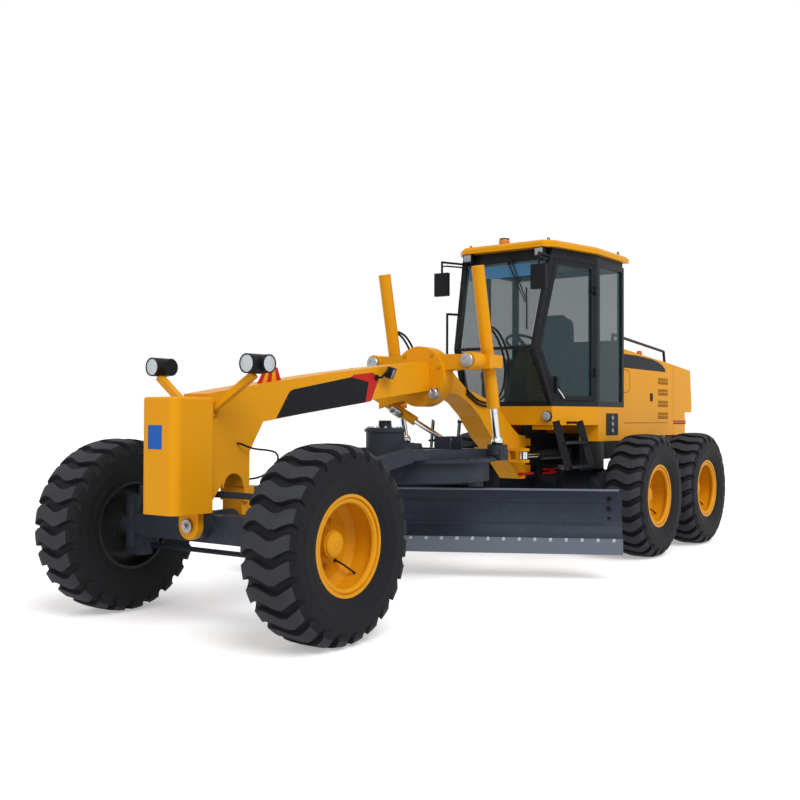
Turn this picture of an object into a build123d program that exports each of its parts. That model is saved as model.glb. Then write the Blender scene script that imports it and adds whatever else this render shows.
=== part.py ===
from build123d import *
import math
import os

# Motor grader, millimetres. X to the machine's left, front towards -Y, Z up, ground at Z = 0.
# The origin lies on the ground below the middle of the overall length and width.

# Overall layout
overall_length = 8970
wheelbase = 6219
tandem_spacing = 1538
tread = 2156
fit = 0.3
running_gap = 0.5
pin_fit = 0.2

# Tyres and rims
tyre_radius = 675
tyre_facets = 24
tyre_width = 445
tyre_tread_half = 165
tyre_shoulder_drop = 65
tyre_bulge_radius = 500
groove_width = 62
groove_depth = 32
rim_radius = 340
rim_wall = 20
rim_half_width = 182
rim_flange = 18
rim_flange_thickness = 13
rim_disc_offset = 62
rim_disc_thickness = 24
hub_radius = 95
hub_reach = 55
spindle_radius = 45
stub_radius = 62

# Frame of the front half
beam_half_width = 125
front_box_half_width = 180
front_box_length = 356
front_box_bottom = 845
front_box_top = 1662
front_box_setback = 118
leg_bottom = 870
knee_height = 1268
arch_radius = 98
arch_height = 1013
lamp_x = 490
lamp_setback = 90
lamp_z = 1897
lamp_radius = 70

# Articulation
pivot_y = 800
hinge_radius = 100
hinge_pin_radius = 42
front_ear_lower = 930
front_ear_upper = 1220
ear_thickness = 80
rear_ear_thickness = 50
ear_eye_x = 270
ear_eye_y = 360
cylinder_z = 1130
rear_anchor_y = 1340
rear_anchor_x = 300
neck_half = 105
cross_y = 1420
turn_barrel_radius = 55
turn_rod_radius = 26

# Front axle, lean frames and steering
axle_pivot_z = 747
axle_bottom = 612
axle_height = 203
axle_width = 180
axle_half_length = 660
lean_pin_x = 760
lean_pin_z = 700
lean_pin_radius = 30
kingpin_x = 900
kingpin_radius = 32
lean_bar_x = 720
lean_bar_z = 960
lean_bar_height = 44
steer_arm = 200
steer_arm_z = 520
steer_arm_thickness = 34
steer_arm_half = 24
steer_eye = 160
steer_eye_radius = 34
steer_cylinder_radius = 44
steer_rod_radius = 22
steer_cylinder_z = 640
steer_anchor_x = 150
steer_anchor_radius = 24
tie_rod_radius = 20
yoke_low = 455
yoke_arm = 45
yoke_high = 860

# Hydraulic cylinders
cylinder_wall = 12
gland_length = 25
piston_length = 22

# Saddle and blade lift
saddle_y = -1120
saddle_radius = 285
saddle_length = 170
saddle_z = 1912
lift_x = 540
lift_top_y = -1021
lift_top_z = 2940
lift_ball_y = -655
lift_ball_z = 1300
trunnion_z = 2050
lift_barrel_radius = 60
lift_rod_radius = 34
lift_barrel_below = 430
ball_radius = 45
hub_y0 = -1195
hub_y1 = -1000
shift_pin = (-430, 1660)
shift_eye = (250, 1305)
shift_tail = 270
shift_gland = 360
shift_barrel_radius = 46
shift_rod_radius = 24
shift_eye_half = 28
shift_fork_gap = 62
shift_fork_plate = 12

# Drawbar, circle and blade
ball_joint_setback = 340
ball_joint_z = 860
circle_y = -1150
plate_top = 1150
plate_thickness = 30
plate_radius = 700
circle_radius = 640
circle_wall = 90
circle_height = 180
blade_yaw = 29.4
blade_length = 3630
blade_bottom = 250
blade_height = 610
blade_thickness = 22
blade_sagitta = 95
blade_offset = 74
edge_height = 150
edge_thickness = 20
rail_depth = 45
rail_heights = (510, 750)
guide_gap = 0.5
arm_x = 520
drive_x = -80
drive_setback = 470
drive_radius = 175

# Cab
cab_sill = 1650
cab_top = 3260
cab_front_y = 456
cab_front_half = 550
cab_kink_y = 174
cab_kink_z = 2260
cab_head_y = 440
cab_middle_y = 1210
cab_middle_half = 720
cab_rear_y = 1920
cab_wall = 50
post_width = 58
door_gap = 6
door_rail = 48
glass_thickness = 6
roof_overhang = 35
roof_thickness = 75
band_height = 60
skirt_depth = 200
skirt_wall = 20
ladder_drop = 495
tank_depth = 380
cab_floor_depth = 60
door_hinge_low = 350
door_hinge_high = 360
door_hinge_height = 40
door_hinge_depth = 14
door_pin_radius = 7
rail_tube = 17

# Hood, engine and rear
hood_half = 600
hood_front_gap = 25
hood_front_top = 2365
hood_rear_top = 2230
hood_seam_setback = 695
hood_bottom = 1310
hood_wall = 15
louvre_setback = 520
louvre_length = 340
louvre_height = 82
louvre_depth = 6
louvre_heights = (1518, 1670, 1816, 1958)
grille_half = 470
grille_slats = 6
grille_depth = 22
housing_top = 2175
housing_bottom = 1610
housing_rake = 60
rail_inner = 400
rail_width = 80
rail_bottom = 1050
rail_height = 240
tandem_case_radius = 270
tandem_case_inner = 620
tandem_case_outer = 815
rear_rail_setback = 235
hitch_bore = 26

# Derived places
half_length = overall_length / 2
front_axle_y = -half_length + tyre_radius
tandem_y = front_axle_y + wheelbase
leg_rear_y = front_axle_y + 224
lug_front_y = front_axle_y + 170
lamp_y = front_axle_y - lamp_setback
ball_joint_y = front_axle_y + ball_joint_setback
hood_seam_y = half_length - hood_seam_setback
rear_rail_end = half_length - rear_rail_setback
louvre_y = hood_seam_y - louvre_setback
skirt_bottom = cab_sill - skirt_depth
tank_bottom = cab_sill - tank_depth
cab_floor_low = cab_sill - cab_floor_depth
ladder_top = skirt_bottom + 45
door_hinge_heights = (cab_sill + door_hinge_low, cab_top - door_hinge_high)
middle_wheel_y = tandem_y - tandem_spacing / 2
rear_wheel_y = tandem_y + tandem_spacing / 2
wheel_x = tread / 2
front_box_front = -half_length + front_box_setback
front_box_rear = front_box_front + front_box_length
neck_front_y = pivot_y + 160
shift_y = hub_y0 + 95
drive_y = circle_y - drive_setback
board_top = blade_bottom + blade_height
board_low = blade_bottom + edge_height / 2
board_knee = blade_bottom + edge_height
# The board stands along itself where the machine's width is centred.
board_reach = 2 * blade_offset - edge_thickness + blade_sagitta + blade_thickness
board_middle = board_reach * math.tan(math.radians(blade_yaw)) / 2
side_run = math.hypot(cab_middle_half - cab_front_half, cab_middle_y - cab_front_y)
side_dir = ((cab_middle_half - cab_front_half) / side_run, (cab_middle_y - cab_front_y) / side_run)
door_inset = post_width + door_gap
pane_inset = door_inset + door_rail
rail_top = rail_bottom + rail_height


def box(x0, x1, y0, y1, z0, z1):
    centre = Pos((x0 + x1) / 2, (y0 + y1) / 2, (z0 + z1) / 2)
    return centre * Box(abs(x1 - x0), abs(y1 - y0), abs(z1 - z0))


def side_plate(points, x0, x1):
    # Prism of a (y, z) outline between two x values.
    plane = Plane(origin=(x0, 0, 0), x_dir=(0, 1, 0), z_dir=(1, 0, 0))
    return extrude(plane * Polygon(*points, align=None), amount=x1 - x0, dir=(1, 0, 0))


def flat_plate(points, z0, z1):
    # Prism of an (x, y) outline between two heights.
    return extrude(Pos(0, 0, z0) * Polygon(*points, align=None), amount=z1 - z0, dir=(0, 0, 1))


def front_plate(points, y0, y1):
    # Prism of an (x, z) outline between two y values.
    plane = Plane(origin=(0, y0, 0), x_dir=(1, 0, 0), z_dir=(0, -1, 0))
    return extrude(plane * Polygon(*points, align=None), amount=y1 - y0, dir=(0, 1, 0))


def rod(a, b, radius):
    start, end = Vector(*a), Vector(*b)
    plane = Plane(origin=start, z_dir=end - start)
    low = (Align.CENTER, Align.CENTER, Align.MIN)
    return plane * Cylinder(radius, (end - start).length, align=low)


def bar(a, b, width, height):
    # Rectangular bar whose width lies level.
    start, end = Vector(*a), Vector(*b)
    along = end - start
    level = Vector(-along.Y, along.X, 0)
    plane = Plane(origin=start, x_dir=level, z_dir=along)
    low = (Align.CENTER, Align.CENTER, Align.MIN)
    return plane * Box(width, height, along.length, align=low)


def tube(points, radius):
    # Round tube along straight runs, with a ball at each bend.
    shape = rod(points[0], points[1], radius)
    for a, b in zip(points[1:], points[2:]):
        shape = shape + Pos(*a) * Sphere(radius) + rod(a, b, radius)
    return shape


def on_line(a, b, distance):
    start, way = Vector(*a), (Vector(*b) - Vector(*a)).normalized()
    return tuple(start + way * distance)


def turned(a, b, outline):
    # Solid of revolution about the line from a to b; outline is (radius, distance from a).
    plane = Plane(origin=Vector(*a), z_dir=Vector(*b) - Vector(*a))
    section = Plane.XZ * Polygon(*outline, align=None)
    return plane * revolve(section, axis=Axis.Z)


def cylinder_barrel(a, b, start, end, radius, rod_radius):
    # Tube with a closed base at start and a gland at end, measured along the line from a to b.
    bore = radius - cylinder_wall
    throat = rod_radius + pin_fit
    return turned(a, b, [
        (0, start),
        (radius, start),
        (radius, end),
        (throat, end),
        (throat, end - gland_length),
        (bore, end - gland_length),
        (bore, start + gland_length),
        (0, start + gland_length),
    ])


def cylinder_rod(a, b, head, end, radius, rod_radius):
    # Rod with its piston at head, running to end.
    piston = radius - cylinder_wall - pin_fit
    return turned(a, b, [
        (0, head),
        (piston, head),
        (piston, head + piston_length),
        (rod_radius, head + piston_length),
        (rod_radius, end),
        (0, end),
    ])


def mirrored(shape):
    return mirror(shape, about=Plane.YZ)


def both(shape):
    return Compound([shape, mirrored(shape)])


def save(name, shape):
    export_step(shape, os.path.join("parts", name + ".step"))


def mix(a, b, share):
    return tuple(p + (q - p) * share for p, q in zip(a, b))


def facet_ring(outline):
    # Closed outline of (x, radius to a flat) carried round the X axis as a ring of plane facets.
    step = 2 * math.pi / tyre_facets
    rings = []
    for i in range(tyre_facets):
        turn = step * (i + 0.5)
        corners = [(x, radius / math.cos(step / 2)) for x, radius in outline]
        rings.append([(x, r * math.sin(turn), r * math.cos(turn)) for x, r in corners])
    faces = []
    for i, ring in enumerate(rings):
        after = rings[(i + 1) % tyre_facets]
        for j in range(len(ring)):
            k = (j + 1) % len(ring)
            faces.append(Face(Wire.make_polygon([ring[j], ring[k], after[k], after[j]], close=True)))
    return Solid(Shell(faces))


def tyre():
    half = tyre_width / 2
    shoulder = tyre_radius - tyre_shoulder_drop
    seat = rim_half_width - rim_flange_thickness - fit
    right = [
        (tyre_tread_half, tyre_radius),
        (half - 18, shoulder),
        (half, tyre_bulge_radius),
        (seat, rim_radius + rim_flange + fit),
        (seat, rim_radius + fit),
    ]
    left = [(-x, radius) for x, radius in reversed(right)]
    return facet_ring(right + left) - grooves()


def grooves():
    # Cuts across the tread, one at each corner of the tyre's polygon, that leave its lugs standing.
    high = tyre_radius + 60
    low = tyre_radius - groove_depth
    cut = Pos(0, 0, (low + high) / 2) * Box(tyre_width + 10, groove_width, high - low)
    corner = 180 / tyre_facets
    step = 360 / tyre_facets
    return [Rot(corner + step * i, 0, 0) * cut for i in range(tyre_facets)]


def rim(bore_radius):
    # Dished disc wheel about the X axis, open side towards +X.
    inner = rim_radius - rim_wall
    seat = rim_half_width - rim_flange_thickness
    flange = rim_radius + rim_flange
    disc_in = -rim_disc_offset - rim_disc_thickness
    outline = [
        (-rim_half_width, inner),
        (-rim_half_width, flange),
        (-seat, flange),
        (-seat, rim_radius),
        (seat, rim_radius),
        (seat, flange),
        (rim_half_width, flange),
        (rim_half_width, inner),
        (-rim_disc_offset + 40, inner),
        (-rim_disc_offset, inner - 60),
        (-rim_disc_offset, hub_radius),
        (hub_reach - 12, hub_radius),
        (hub_reach, hub_radius - 28),
        (hub_reach, 0),
        (hub_reach - 40, 0),
        (hub_reach - 40, bore_radius),
        (disc_in - 20, bore_radius),
        (disc_in - 20, hub_radius + 15),
        (disc_in, hub_radius + 15),
        (disc_in, inner - 60),
        (-rim_disc_offset - rim_disc_thickness + 15, inner),
    ]
    return revolve(Polygon(*outline, align=None), axis=Axis.X)


def wheels():
    rubber = tyre()
    front = rim(spindle_radius + pin_fit)
    driven = rim(stub_radius + pin_fit)
    places = {
        "front": (front_axle_y, front),
        "middle": (middle_wheel_y, driven),
        "rear": (rear_wheel_y, driven),
    }
    for name, (y, disc) in places.items():
        left = Pos(wheel_x, y, tyre_radius)
        right = Pos(-wheel_x, y, tyre_radius)
        save("tyre_" + name + "_left", left * rubber)
        save("tyre_" + name + "_right", right * rubber)
        save("rim_" + name + "_left", left * disc)
        save("rim_" + name + "_right", right * mirrored(disc))


def beam_outline():
    # Side outline of the gooseneck: nose, sloping beam, curved leg and hinge block.
    nose = front_box_rear
    heel = pivot_y - 140
    return [
        (nose, front_box_bottom + 20),
        (nose, 1690),
        (front_axle_y + 240, 1759),
        (-2700, 1881),
        (-2026, 1963),
        (-1255, 2045),
        (-900, 2030),
        (-550, 1812),
        (40, 1669),
        (220, 1520),
        (400, 1405),
        (510, 1345),
        (heel, 1330),
        (heel, leg_bottom),
        (545, leg_bottom),
        (220, 1135),
        (-50, 1312),
        (-304, 1547),
        (-500, 1672),
        (-700, 1750),
        (-1195, 1779),
        (-2134, 1670),
        (front_axle_y + 368, 1490),
        (leg_rear_y, knee_height),
        (leg_rear_y, 900),
        (lug_front_y, 900),
        (lug_front_y, arch_height),
        (front_axle_y - 50, arch_height),
        (front_axle_y - 50, 1045),
    ]


def front_frame():
    arch_y = front_axle_y + 60
    body = side_plate(beam_outline(), -beam_half_width, beam_half_width)
    body -= rod((-300, arch_y, arch_height), (300, arch_y, arch_height), arch_radius)
    rear_lug = box(-100, 100, lug_front_y, leg_rear_y, axle_pivot_z - 82, 910)
    body += rear_lug
    for low in (front_ear_lower, front_ear_upper):
        ear = box(-hinge_radius, hinge_radius, pivot_y - 145, pivot_y, low, low + ear_thickness)
        ear += Pos(0, pivot_y, low + ear_thickness / 2) * Cylinder(hinge_radius, ear_thickness)
        body += ear
        bore = Cylinder(hinge_pin_radius + pin_fit, ear_thickness + 2)
        body -= Pos(0, pivot_y, low + ear_thickness / 2) * bore
    body += both_ears()
    body += [lamp_bracket(side) for side in (-1, 1)]
    socket = box(-70, 70, leg_rear_y, ball_joint_y - 10, ball_joint_z - 75, ball_joint_z + 140)
    body += box(-70, 70, leg_rear_y - 4, leg_rear_y, ball_joint_z - 75, 910) + socket
    body -= Pos(0, ball_joint_y, ball_joint_z) * Sphere(ball_radius + fit)
    body -= axle_pin_bore()
    return body


def axle_pin_bore():
    return rod((0, front_axle_y - 290, axle_pivot_z), (0, front_axle_y + 310, axle_pivot_z), 36 + pin_fit)


def both_ears():
    # Pairs of plates on the leg that hold the eyes of the articulation cylinders.
    shape = None
    for side in (-1, 1):
        for low in (cylinder_z - 75, cylinder_z + 45):
            plate = box(side * 100, side * ear_eye_x, ear_eye_y - 60, ear_eye_y + 60, low, low + 30)
            plate += Pos(side * ear_eye_x, ear_eye_y, low + 15) * Cylinder(60, 30)
            shape = plate if shape is None else shape + plate
    return shape


def front_box():
    half = front_box_half_width
    shape = box(-half, half, front_box_front, front_box_rear, front_box_bottom, front_box_top)
    uprights = shape.edges().filter_by(Axis.Z).group_by(Axis.Y)[0]
    shape = fillet(uprights, 70)
    top = shape.faces().sort_by(Axis.Z)[-1]
    shape = fillet(top.edges(), 18)
    lug_y = front_box_rear - 60
    lug = box(-100, 100, lug_y, lug_y + 50, axle_pivot_z, front_box_bottom)
    lug += rod((0, lug_y, axle_pivot_z), (0, lug_y + 50, axle_pivot_z), 100)
    pin = rod((0, lug_y - 15, axle_pivot_z), (0, lug_y + 50 + fit, axle_pivot_z), 36)
    return shape + lug + pin


def front_axle():
    y0 = front_axle_y - axle_width * 0.6
    y1 = y0 + axle_width
    top = axle_bottom + axle_height
    shape = box(-axle_half_length, axle_half_length, y0, y1, axle_bottom, top)
    boss_front = front_box_rear - 10 + fit
    boss = rod((0, boss_front, axle_pivot_z), (0, lug_front_y - fit, axle_pivot_z), 95)
    pin = rod((0, lug_front_y - fit, axle_pivot_z), (0, leg_rear_y + 11, axle_pivot_z), 36)
    shape += boss + pin
    for side in (-1, 1):
        for a in (y0, y1 - 35):
            cheek = [(side * 600, axle_bottom), (side * 600, top), (side * 790, lean_pin_z + 60)]
            cheek += [(side * 820, lean_pin_z), (side * 790, lean_pin_z - 60)]
            shape += front_plate(cheek, a, a + 35)
        pin_x = side * lean_pin_x
        shape += rod((pin_x, y0, lean_pin_z), (pin_x, y1, lean_pin_z), lean_pin_radius)
    x = steer_anchor_x
    end = front_axle_y + steer_eye + 10
    return shape + rod((x, y1 - 5, steer_cylinder_z), (x, end, steer_cylinder_z), steer_anchor_radius)


def lean_frame(side):
    # C-shaped carrier of the kingpin, hung on the pin at the end of the axle.
    y = front_axle_y - axle_width * 0.1
    half = axle_width / 2 - 35 - running_gap
    web = box(side * 745, side * 815, y - half, y + half, yoke_low, yoke_high + yoke_arm)
    x = side * lean_pin_x
    web += rod((x, y - half, lean_pin_z), (x, y + half, lean_pin_z), 58)
    web -= rod((x, y - 200, lean_pin_z), (x, y + 200, lean_pin_z), lean_pin_radius + pin_fit)
    for low in (yoke_low, yoke_high):
        arm = box(side * 745, side * kingpin_x, y - half, front_axle_y + 50, low, low + yoke_arm)
        arm += Pos(side * kingpin_x, front_axle_y, low + yoke_arm / 2) * Cylinder(55, yoke_arm)
        web += arm
    top = yoke_high + yoke_arm
    ear = box(side * 690, side * 760, y - half, y - half + 25, yoke_high, lean_bar_z + 35)
    pin = rod((side * lean_bar_x, y - half, lean_bar_z), (side * lean_bar_x, y - half + 75, lean_bar_z), 15)
    king_x = side * kingpin_x
    kingpin = rod((king_x, front_axle_y, yoke_low - 8), (king_x, front_axle_y, top + 8), kingpin_radius)
    return web + ear + pin + kingpin


def lean_bar():
    y = front_axle_y - axle_width * 0.1
    y0 = y - axle_width / 2 + 35 + running_gap + 25 + fit
    half = lean_bar_height / 2
    shape = box(-lean_bar_x, lean_bar_x, y0, y0 + 45, lean_bar_z - half, lean_bar_z + half)
    for side in (-1, 1):
        eye = rod((side * lean_bar_x, y0, lean_bar_z), (side * lean_bar_x, y0 + 45, lean_bar_z), 34)
        shape += eye
    for side in (-1, 1):
        a = (side * lean_bar_x, y0 - 1, lean_bar_z)
        b = (side * lean_bar_x, y0 + 46, lean_bar_z)
        shape -= rod(a, b, 15 + pin_fit)
    return shape


def knuckle(side):
    x = side * kingpin_x
    low = yoke_low + yoke_arm + running_gap
    high = yoke_high - running_gap
    hub_face = wheel_x - rim_disc_offset - rim_disc_thickness - 20 - fit
    shape = rod((x, front_axle_y, low), (x, front_axle_y, high), 68)
    shape += rod((x, front_axle_y, tyre_radius), (side * hub_face, front_axle_y, tyre_radius), 85)
    tip = wheel_x + hub_reach - 42
    shape += rod((x, front_axle_y, tyre_radius), (side * tip, front_axle_y, tyre_radius), spindle_radius)
    arm_top = steer_arm_z + steer_arm_thickness
    arm_end = front_axle_y + steer_arm
    shape += box(x - steer_arm_half, x + steer_arm_half, front_axle_y, arm_end, steer_arm_z, arm_top)
    shape += rod((x, arm_end, steer_arm_z), (x, arm_end, arm_top), 38)
    shape += rod((x, arm_end, steer_arm_z - 48), (x, arm_end, arm_top), 14)
    if side > 0:
        post = front_axle_y + steer_eye
        shape += rod((x, post, steer_arm_z), (x, post, steer_cylinder_z - 24 - fit), 20)
    return shape - rod((x, front_axle_y, low - 5), (x, front_axle_y, high + 5), kingpin_radius + pin_fit)


def tie_rod():
    y = front_axle_y + steer_arm
    z = steer_arm_z - 22
    shape = rod((-kingpin_x, y, z), (kingpin_x, y, z), tie_rod_radius)
    for side in (-1, 1):
        shape += rod((side * kingpin_x, y, z - 19), (side * kingpin_x, y, z + 19), 33)
    for side in (-1, 1):
        shape -= rod((side * kingpin_x, y, z - 30), (side * kingpin_x, y, z + 30), 14 + pin_fit)
    return shape


def steer_ends():
    y = front_axle_y + steer_eye
    return (steer_anchor_x, y, steer_cylinder_z), (kingpin_x, y, steer_cylinder_z)


def steer_barrel():
    a, b = steer_ends()
    shape = cylinder_barrel(a, b, 32, 410, steer_cylinder_radius, steer_rod_radius)
    ring = box(a[0] - 34, a[0] + 34, a[1] - 32, a[1] + 32, a[2] - 34, a[2] + 34)
    bore = rod((a[0], a[1] - 90, a[2]), (a[0], a[1] + 12, a[2]), steer_anchor_radius + pin_fit)
    return shape + ring - bore


def steer_rod():
    a, b = steer_ends()
    end = kingpin_x - steer_anchor_x - 20
    shape = cylinder_rod(a, b, 205, end, steer_cylinder_radius, steer_rod_radius)
    return shape + rod((b[0], b[1], b[2] - 24), (b[0], b[1], b[2] + 24), steer_eye_radius)


def lift_axis(z):
    # Point on the axis of a lift cylinder at height z, on the left side.
    share = (z - lift_top_z) / (lift_ball_z - lift_top_z)
    return (lift_x, lift_top_y + (lift_ball_y - lift_top_y) * share, z)


def saddle(frame):
    half = saddle_length / 2
    shape = rod((0, saddle_y - half, saddle_z), (0, saddle_y + half, saddle_z), saddle_radius)
    for side in (-1, 1):
        arm = [(side * 200, 1960), (side * 200, 2120), (side * lift_x, 2110), (side * lift_x, 1985)]
        shape += front_plate(arm, hub_y0 + 20, hub_y1 - 20)
        shape += rod((side * lift_x, hub_y0, trunnion_z), (side * lift_x, hub_y1, trunnion_z), 82)
    ear = [(-480, 1610), (-480, 1715), (-230, 1800), (-150, 1700)]
    for y in (hub_y0 + 10, hub_y0 + 150):
        shape += front_plate(ear, y, y + 30)
    return shape - frame


def lift_yokes():
    # Forks turned on the saddle's hubs; each carries the trunnions of one lift cylinder.
    yt = lift_axis(trunnion_z)[1]
    shape = box(lift_x - 120, lift_x + 120, hub_y1 + fit, hub_y1 + 50, trunnion_z - 70, trunnion_z + 70)
    for side in (-1, 1):
        x = lift_x + side * 100
        shape += box(x - 20, x + 20, hub_y1 + 40, yt + 60, trunnion_z - 60, trunnion_z + 60)
    shape -= rod((lift_x - 200, yt, trunnion_z), (lift_x + 200, yt, trunnion_z), 32 + pin_fit)
    return both(shape)


def lift_barrel():
    top, ball = lift_axis(lift_top_z), lift_axis(lift_ball_z)
    run = math.dist(top, lift_axis(trunnion_z - lift_barrel_below))
    shape = cylinder_barrel(top, ball, 0, run, lift_barrel_radius, lift_rod_radius)
    yt = lift_axis(trunnion_z)[1]
    collar = math.dist(top, lift_axis(trunnion_z))
    band = turned(top, ball, [
        (lift_barrel_radius - 1, collar - 55),
        (lift_barrel_radius + 14, collar - 55),
        (lift_barrel_radius + 14, collar + 55),
        (lift_barrel_radius - 1, collar + 55),
    ])
    for side in (-1, 1):
        inner = (lift_x + side * (lift_barrel_radius - 4), yt, trunnion_z)
        band += rod(inner, (lift_x + side * 118, yt, trunnion_z), 32)
    return shape + band


def lift_rod():
    top, ball = lift_axis(lift_top_z), lift_axis(lift_ball_z)
    shape = cylinder_rod(top, ball, 300, math.dist(top, ball), lift_barrel_radius, lift_rod_radius)
    return shape + Pos(*ball) * Sphere(58)


def shift_ends():
    return (shift_pin[0], shift_y, shift_pin[1]), (shift_eye[0], shift_y, shift_eye[1])


def shift_barrel():
    a, b = shift_ends()
    shape = cylinder_barrel(a, b, -shift_tail, shift_gland, shift_barrel_radius, shift_rod_radius)
    for side in (-1, 1):
        boss = rod((a[0], shift_y + side * 42, a[2]), (a[0], shift_y + side * (55 - fit), a[2]), 30)
        shape += boss
    return shape


def shift_rod():
    a, b = shift_ends()
    length = math.dist(a, b)
    shape = cylinder_rod(a, b, shift_gland - 460, length - 30, shift_barrel_radius, shift_rod_radius)
    return shape + rod((b[0], shift_y - shift_eye_half, b[2]), (b[0], shift_y + shift_eye_half, b[2]), 44)


def drawbar():
    plate_low = plate_top - plate_thickness
    shape = Pos(0, circle_y, plate_top - plate_thickness / 2) * Cylinder(plate_radius, plate_thickness)
    shape += box(-560, 560, circle_y, lift_ball_y + 70, plate_low, plate_top)
    shape -= Pos(0, circle_y, plate_top) * Cylinder(330, 3 * plate_thickness)
    shape += box(-620, 620, lift_ball_y - 75, lift_ball_y + 75, plate_low, plate_top + 75)
    for side in (-1, 1):
        tongue = (side * 30, ball_joint_y + 150, ball_joint_z + 10)
        bend = (side * 360, circle_y - plate_radius - 20, plate_top + 45)
        heel = (side * 430, circle_y - 250, plate_top + 45)
        shape += bar(tongue, bend, 120, 120) + bar(mix(bend, heel, -0.08), heel, 110, 90)
        shape += bar(mix(heel, bend, 0.1), (side * 430, lift_ball_y, plate_top + 30), 60, 80)
        x = side * lift_x
        cup = rod((x, lift_ball_y, plate_top + 20), (x, lift_ball_y, lift_ball_z - 30), 98)
        cup -= rod((x, lift_ball_y, lift_ball_z - 80), (x, lift_ball_y, lift_ball_z), 82)
        shape += cup
    shape += rod((0, ball_joint_y, ball_joint_z), (0, ball_joint_y + 190, ball_joint_z + 10), 36)
    shape += box(-130, 130, ball_joint_y + 120, ball_joint_y + 300, ball_joint_z - 55, ball_joint_z + 95)
    shape += Pos(0, ball_joint_y, ball_joint_z) * Sphere(ball_radius)
    # The fork leaves the rod's eye room to swing sideways on its ball.
    inner = shift_eye_half + shift_fork_gap
    outer = inner + shift_fork_plate
    for side in (-1, 1):
        y0, y1 = sorted((shift_y + side * inner, shift_y + side * outer))
        shape += box(shift_eye[0] - 70, shift_eye[0] + 110, y0, y1, plate_low, shift_eye[1] + 45)
    shape += box(shift_eye[0] - 70, 430, shift_y - outer, shift_y + outer, plate_low, plate_top + 10)
    return shape


def circle_drive():
    # Reduction gear with its motor, bolted on the front of the drawbar plate.
    low = plate_top
    shape = rod((drive_x, drive_y, low), (drive_x, drive_y, low + 280), drive_radius)
    shape += rod((drive_x, drive_y, low + 280), (drive_x, drive_y, low + 320), 60)
    return shape + rod((drive_x, drive_y, low + 75), (drive_x + 330, drive_y + 90, low + 75), 70)


def blade_frame(shape):
    return Pos(0, circle_y, 0) * Rot(0, 0, blade_yaw) * shape


def board_edges(back):
    # Straight foot and curved face of the board at a distance behind its front, in the plane x = 0.
    foot, knee, top = (0, back, board_low), (0, back, board_knee), (0, back, board_top)
    middle = (0, back + blade_sagitta, (board_knee + board_top) / 2)
    return [Line(foot, knee), ThreePointArc(knee, middle, top)], foot, top


def board_section(front, rear):
    # Closed section between the board's lines at two distances.
    first, foot_a, top_a = board_edges(front)
    second, foot_b, top_b = board_edges(rear)
    return make_face(first + [Line(top_a, top_b)] + second + [Line(foot_b, foot_a)])


def moldboard():
    start = board_middle - blade_length / 2
    section = board_section(blade_offset, blade_offset + blade_thickness)
    shape = Pos(start, 0, 0) * extrude(section, amount=blade_length, dir=(1, 0, 0))
    back = blade_offset + blade_sagitta + blade_thickness
    half = blade_length / 2 - 150
    for z in rail_heights:
        shape += box(board_middle - half, board_middle + half, back - 45, back + rail_depth, z - 22, z + 22)
    return blade_frame(shape)


def cutting_edge():
    start = board_middle - blade_length / 2
    y = blade_offset
    return blade_frame(
        box(start, start + blade_length, y - edge_thickness, y, blade_bottom, blade_bottom + edge_height)
    )


def circle():
    top = plate_top - plate_thickness - running_gap
    middle = top - circle_height / 2
    ring = Pos(0, circle_y, middle) * Cylinder(circle_radius, circle_height)
    ring -= Pos(0, circle_y, middle) * Cylinder(circle_radius - circle_wall, circle_height + 2)
    back = blade_offset + blade_sagitta + blade_thickness + rail_depth + guide_gap
    arms = None
    for side in (-1, 1):
        x = side * arm_x
        hanger = side_plate([
            (-330, top - circle_height),
            (back + 70, top - circle_height),
            (back + 70, rail_heights[0] - 60),
            (back, rail_heights[0] - 60),
            (back, board_top + 10),
            (-330, top - circle_height - 40),
        ], x - 60, x + 60)
        for z in rail_heights:
            hanger += box(x - 60, x + 60, back - rail_depth, back + 5, z + 22 + guide_gap, z + 52)
            hanger += box(x - 60, x + 60, back - rail_depth, back + 5, z - 52, z - 22 - guide_gap)
        arms = hanger if arms is None else arms + hanger
    tie = box(-arm_x, arm_x, back + 10, back + 60, 800, 880)
    return ring + blade_frame(arms + tie)


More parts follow.
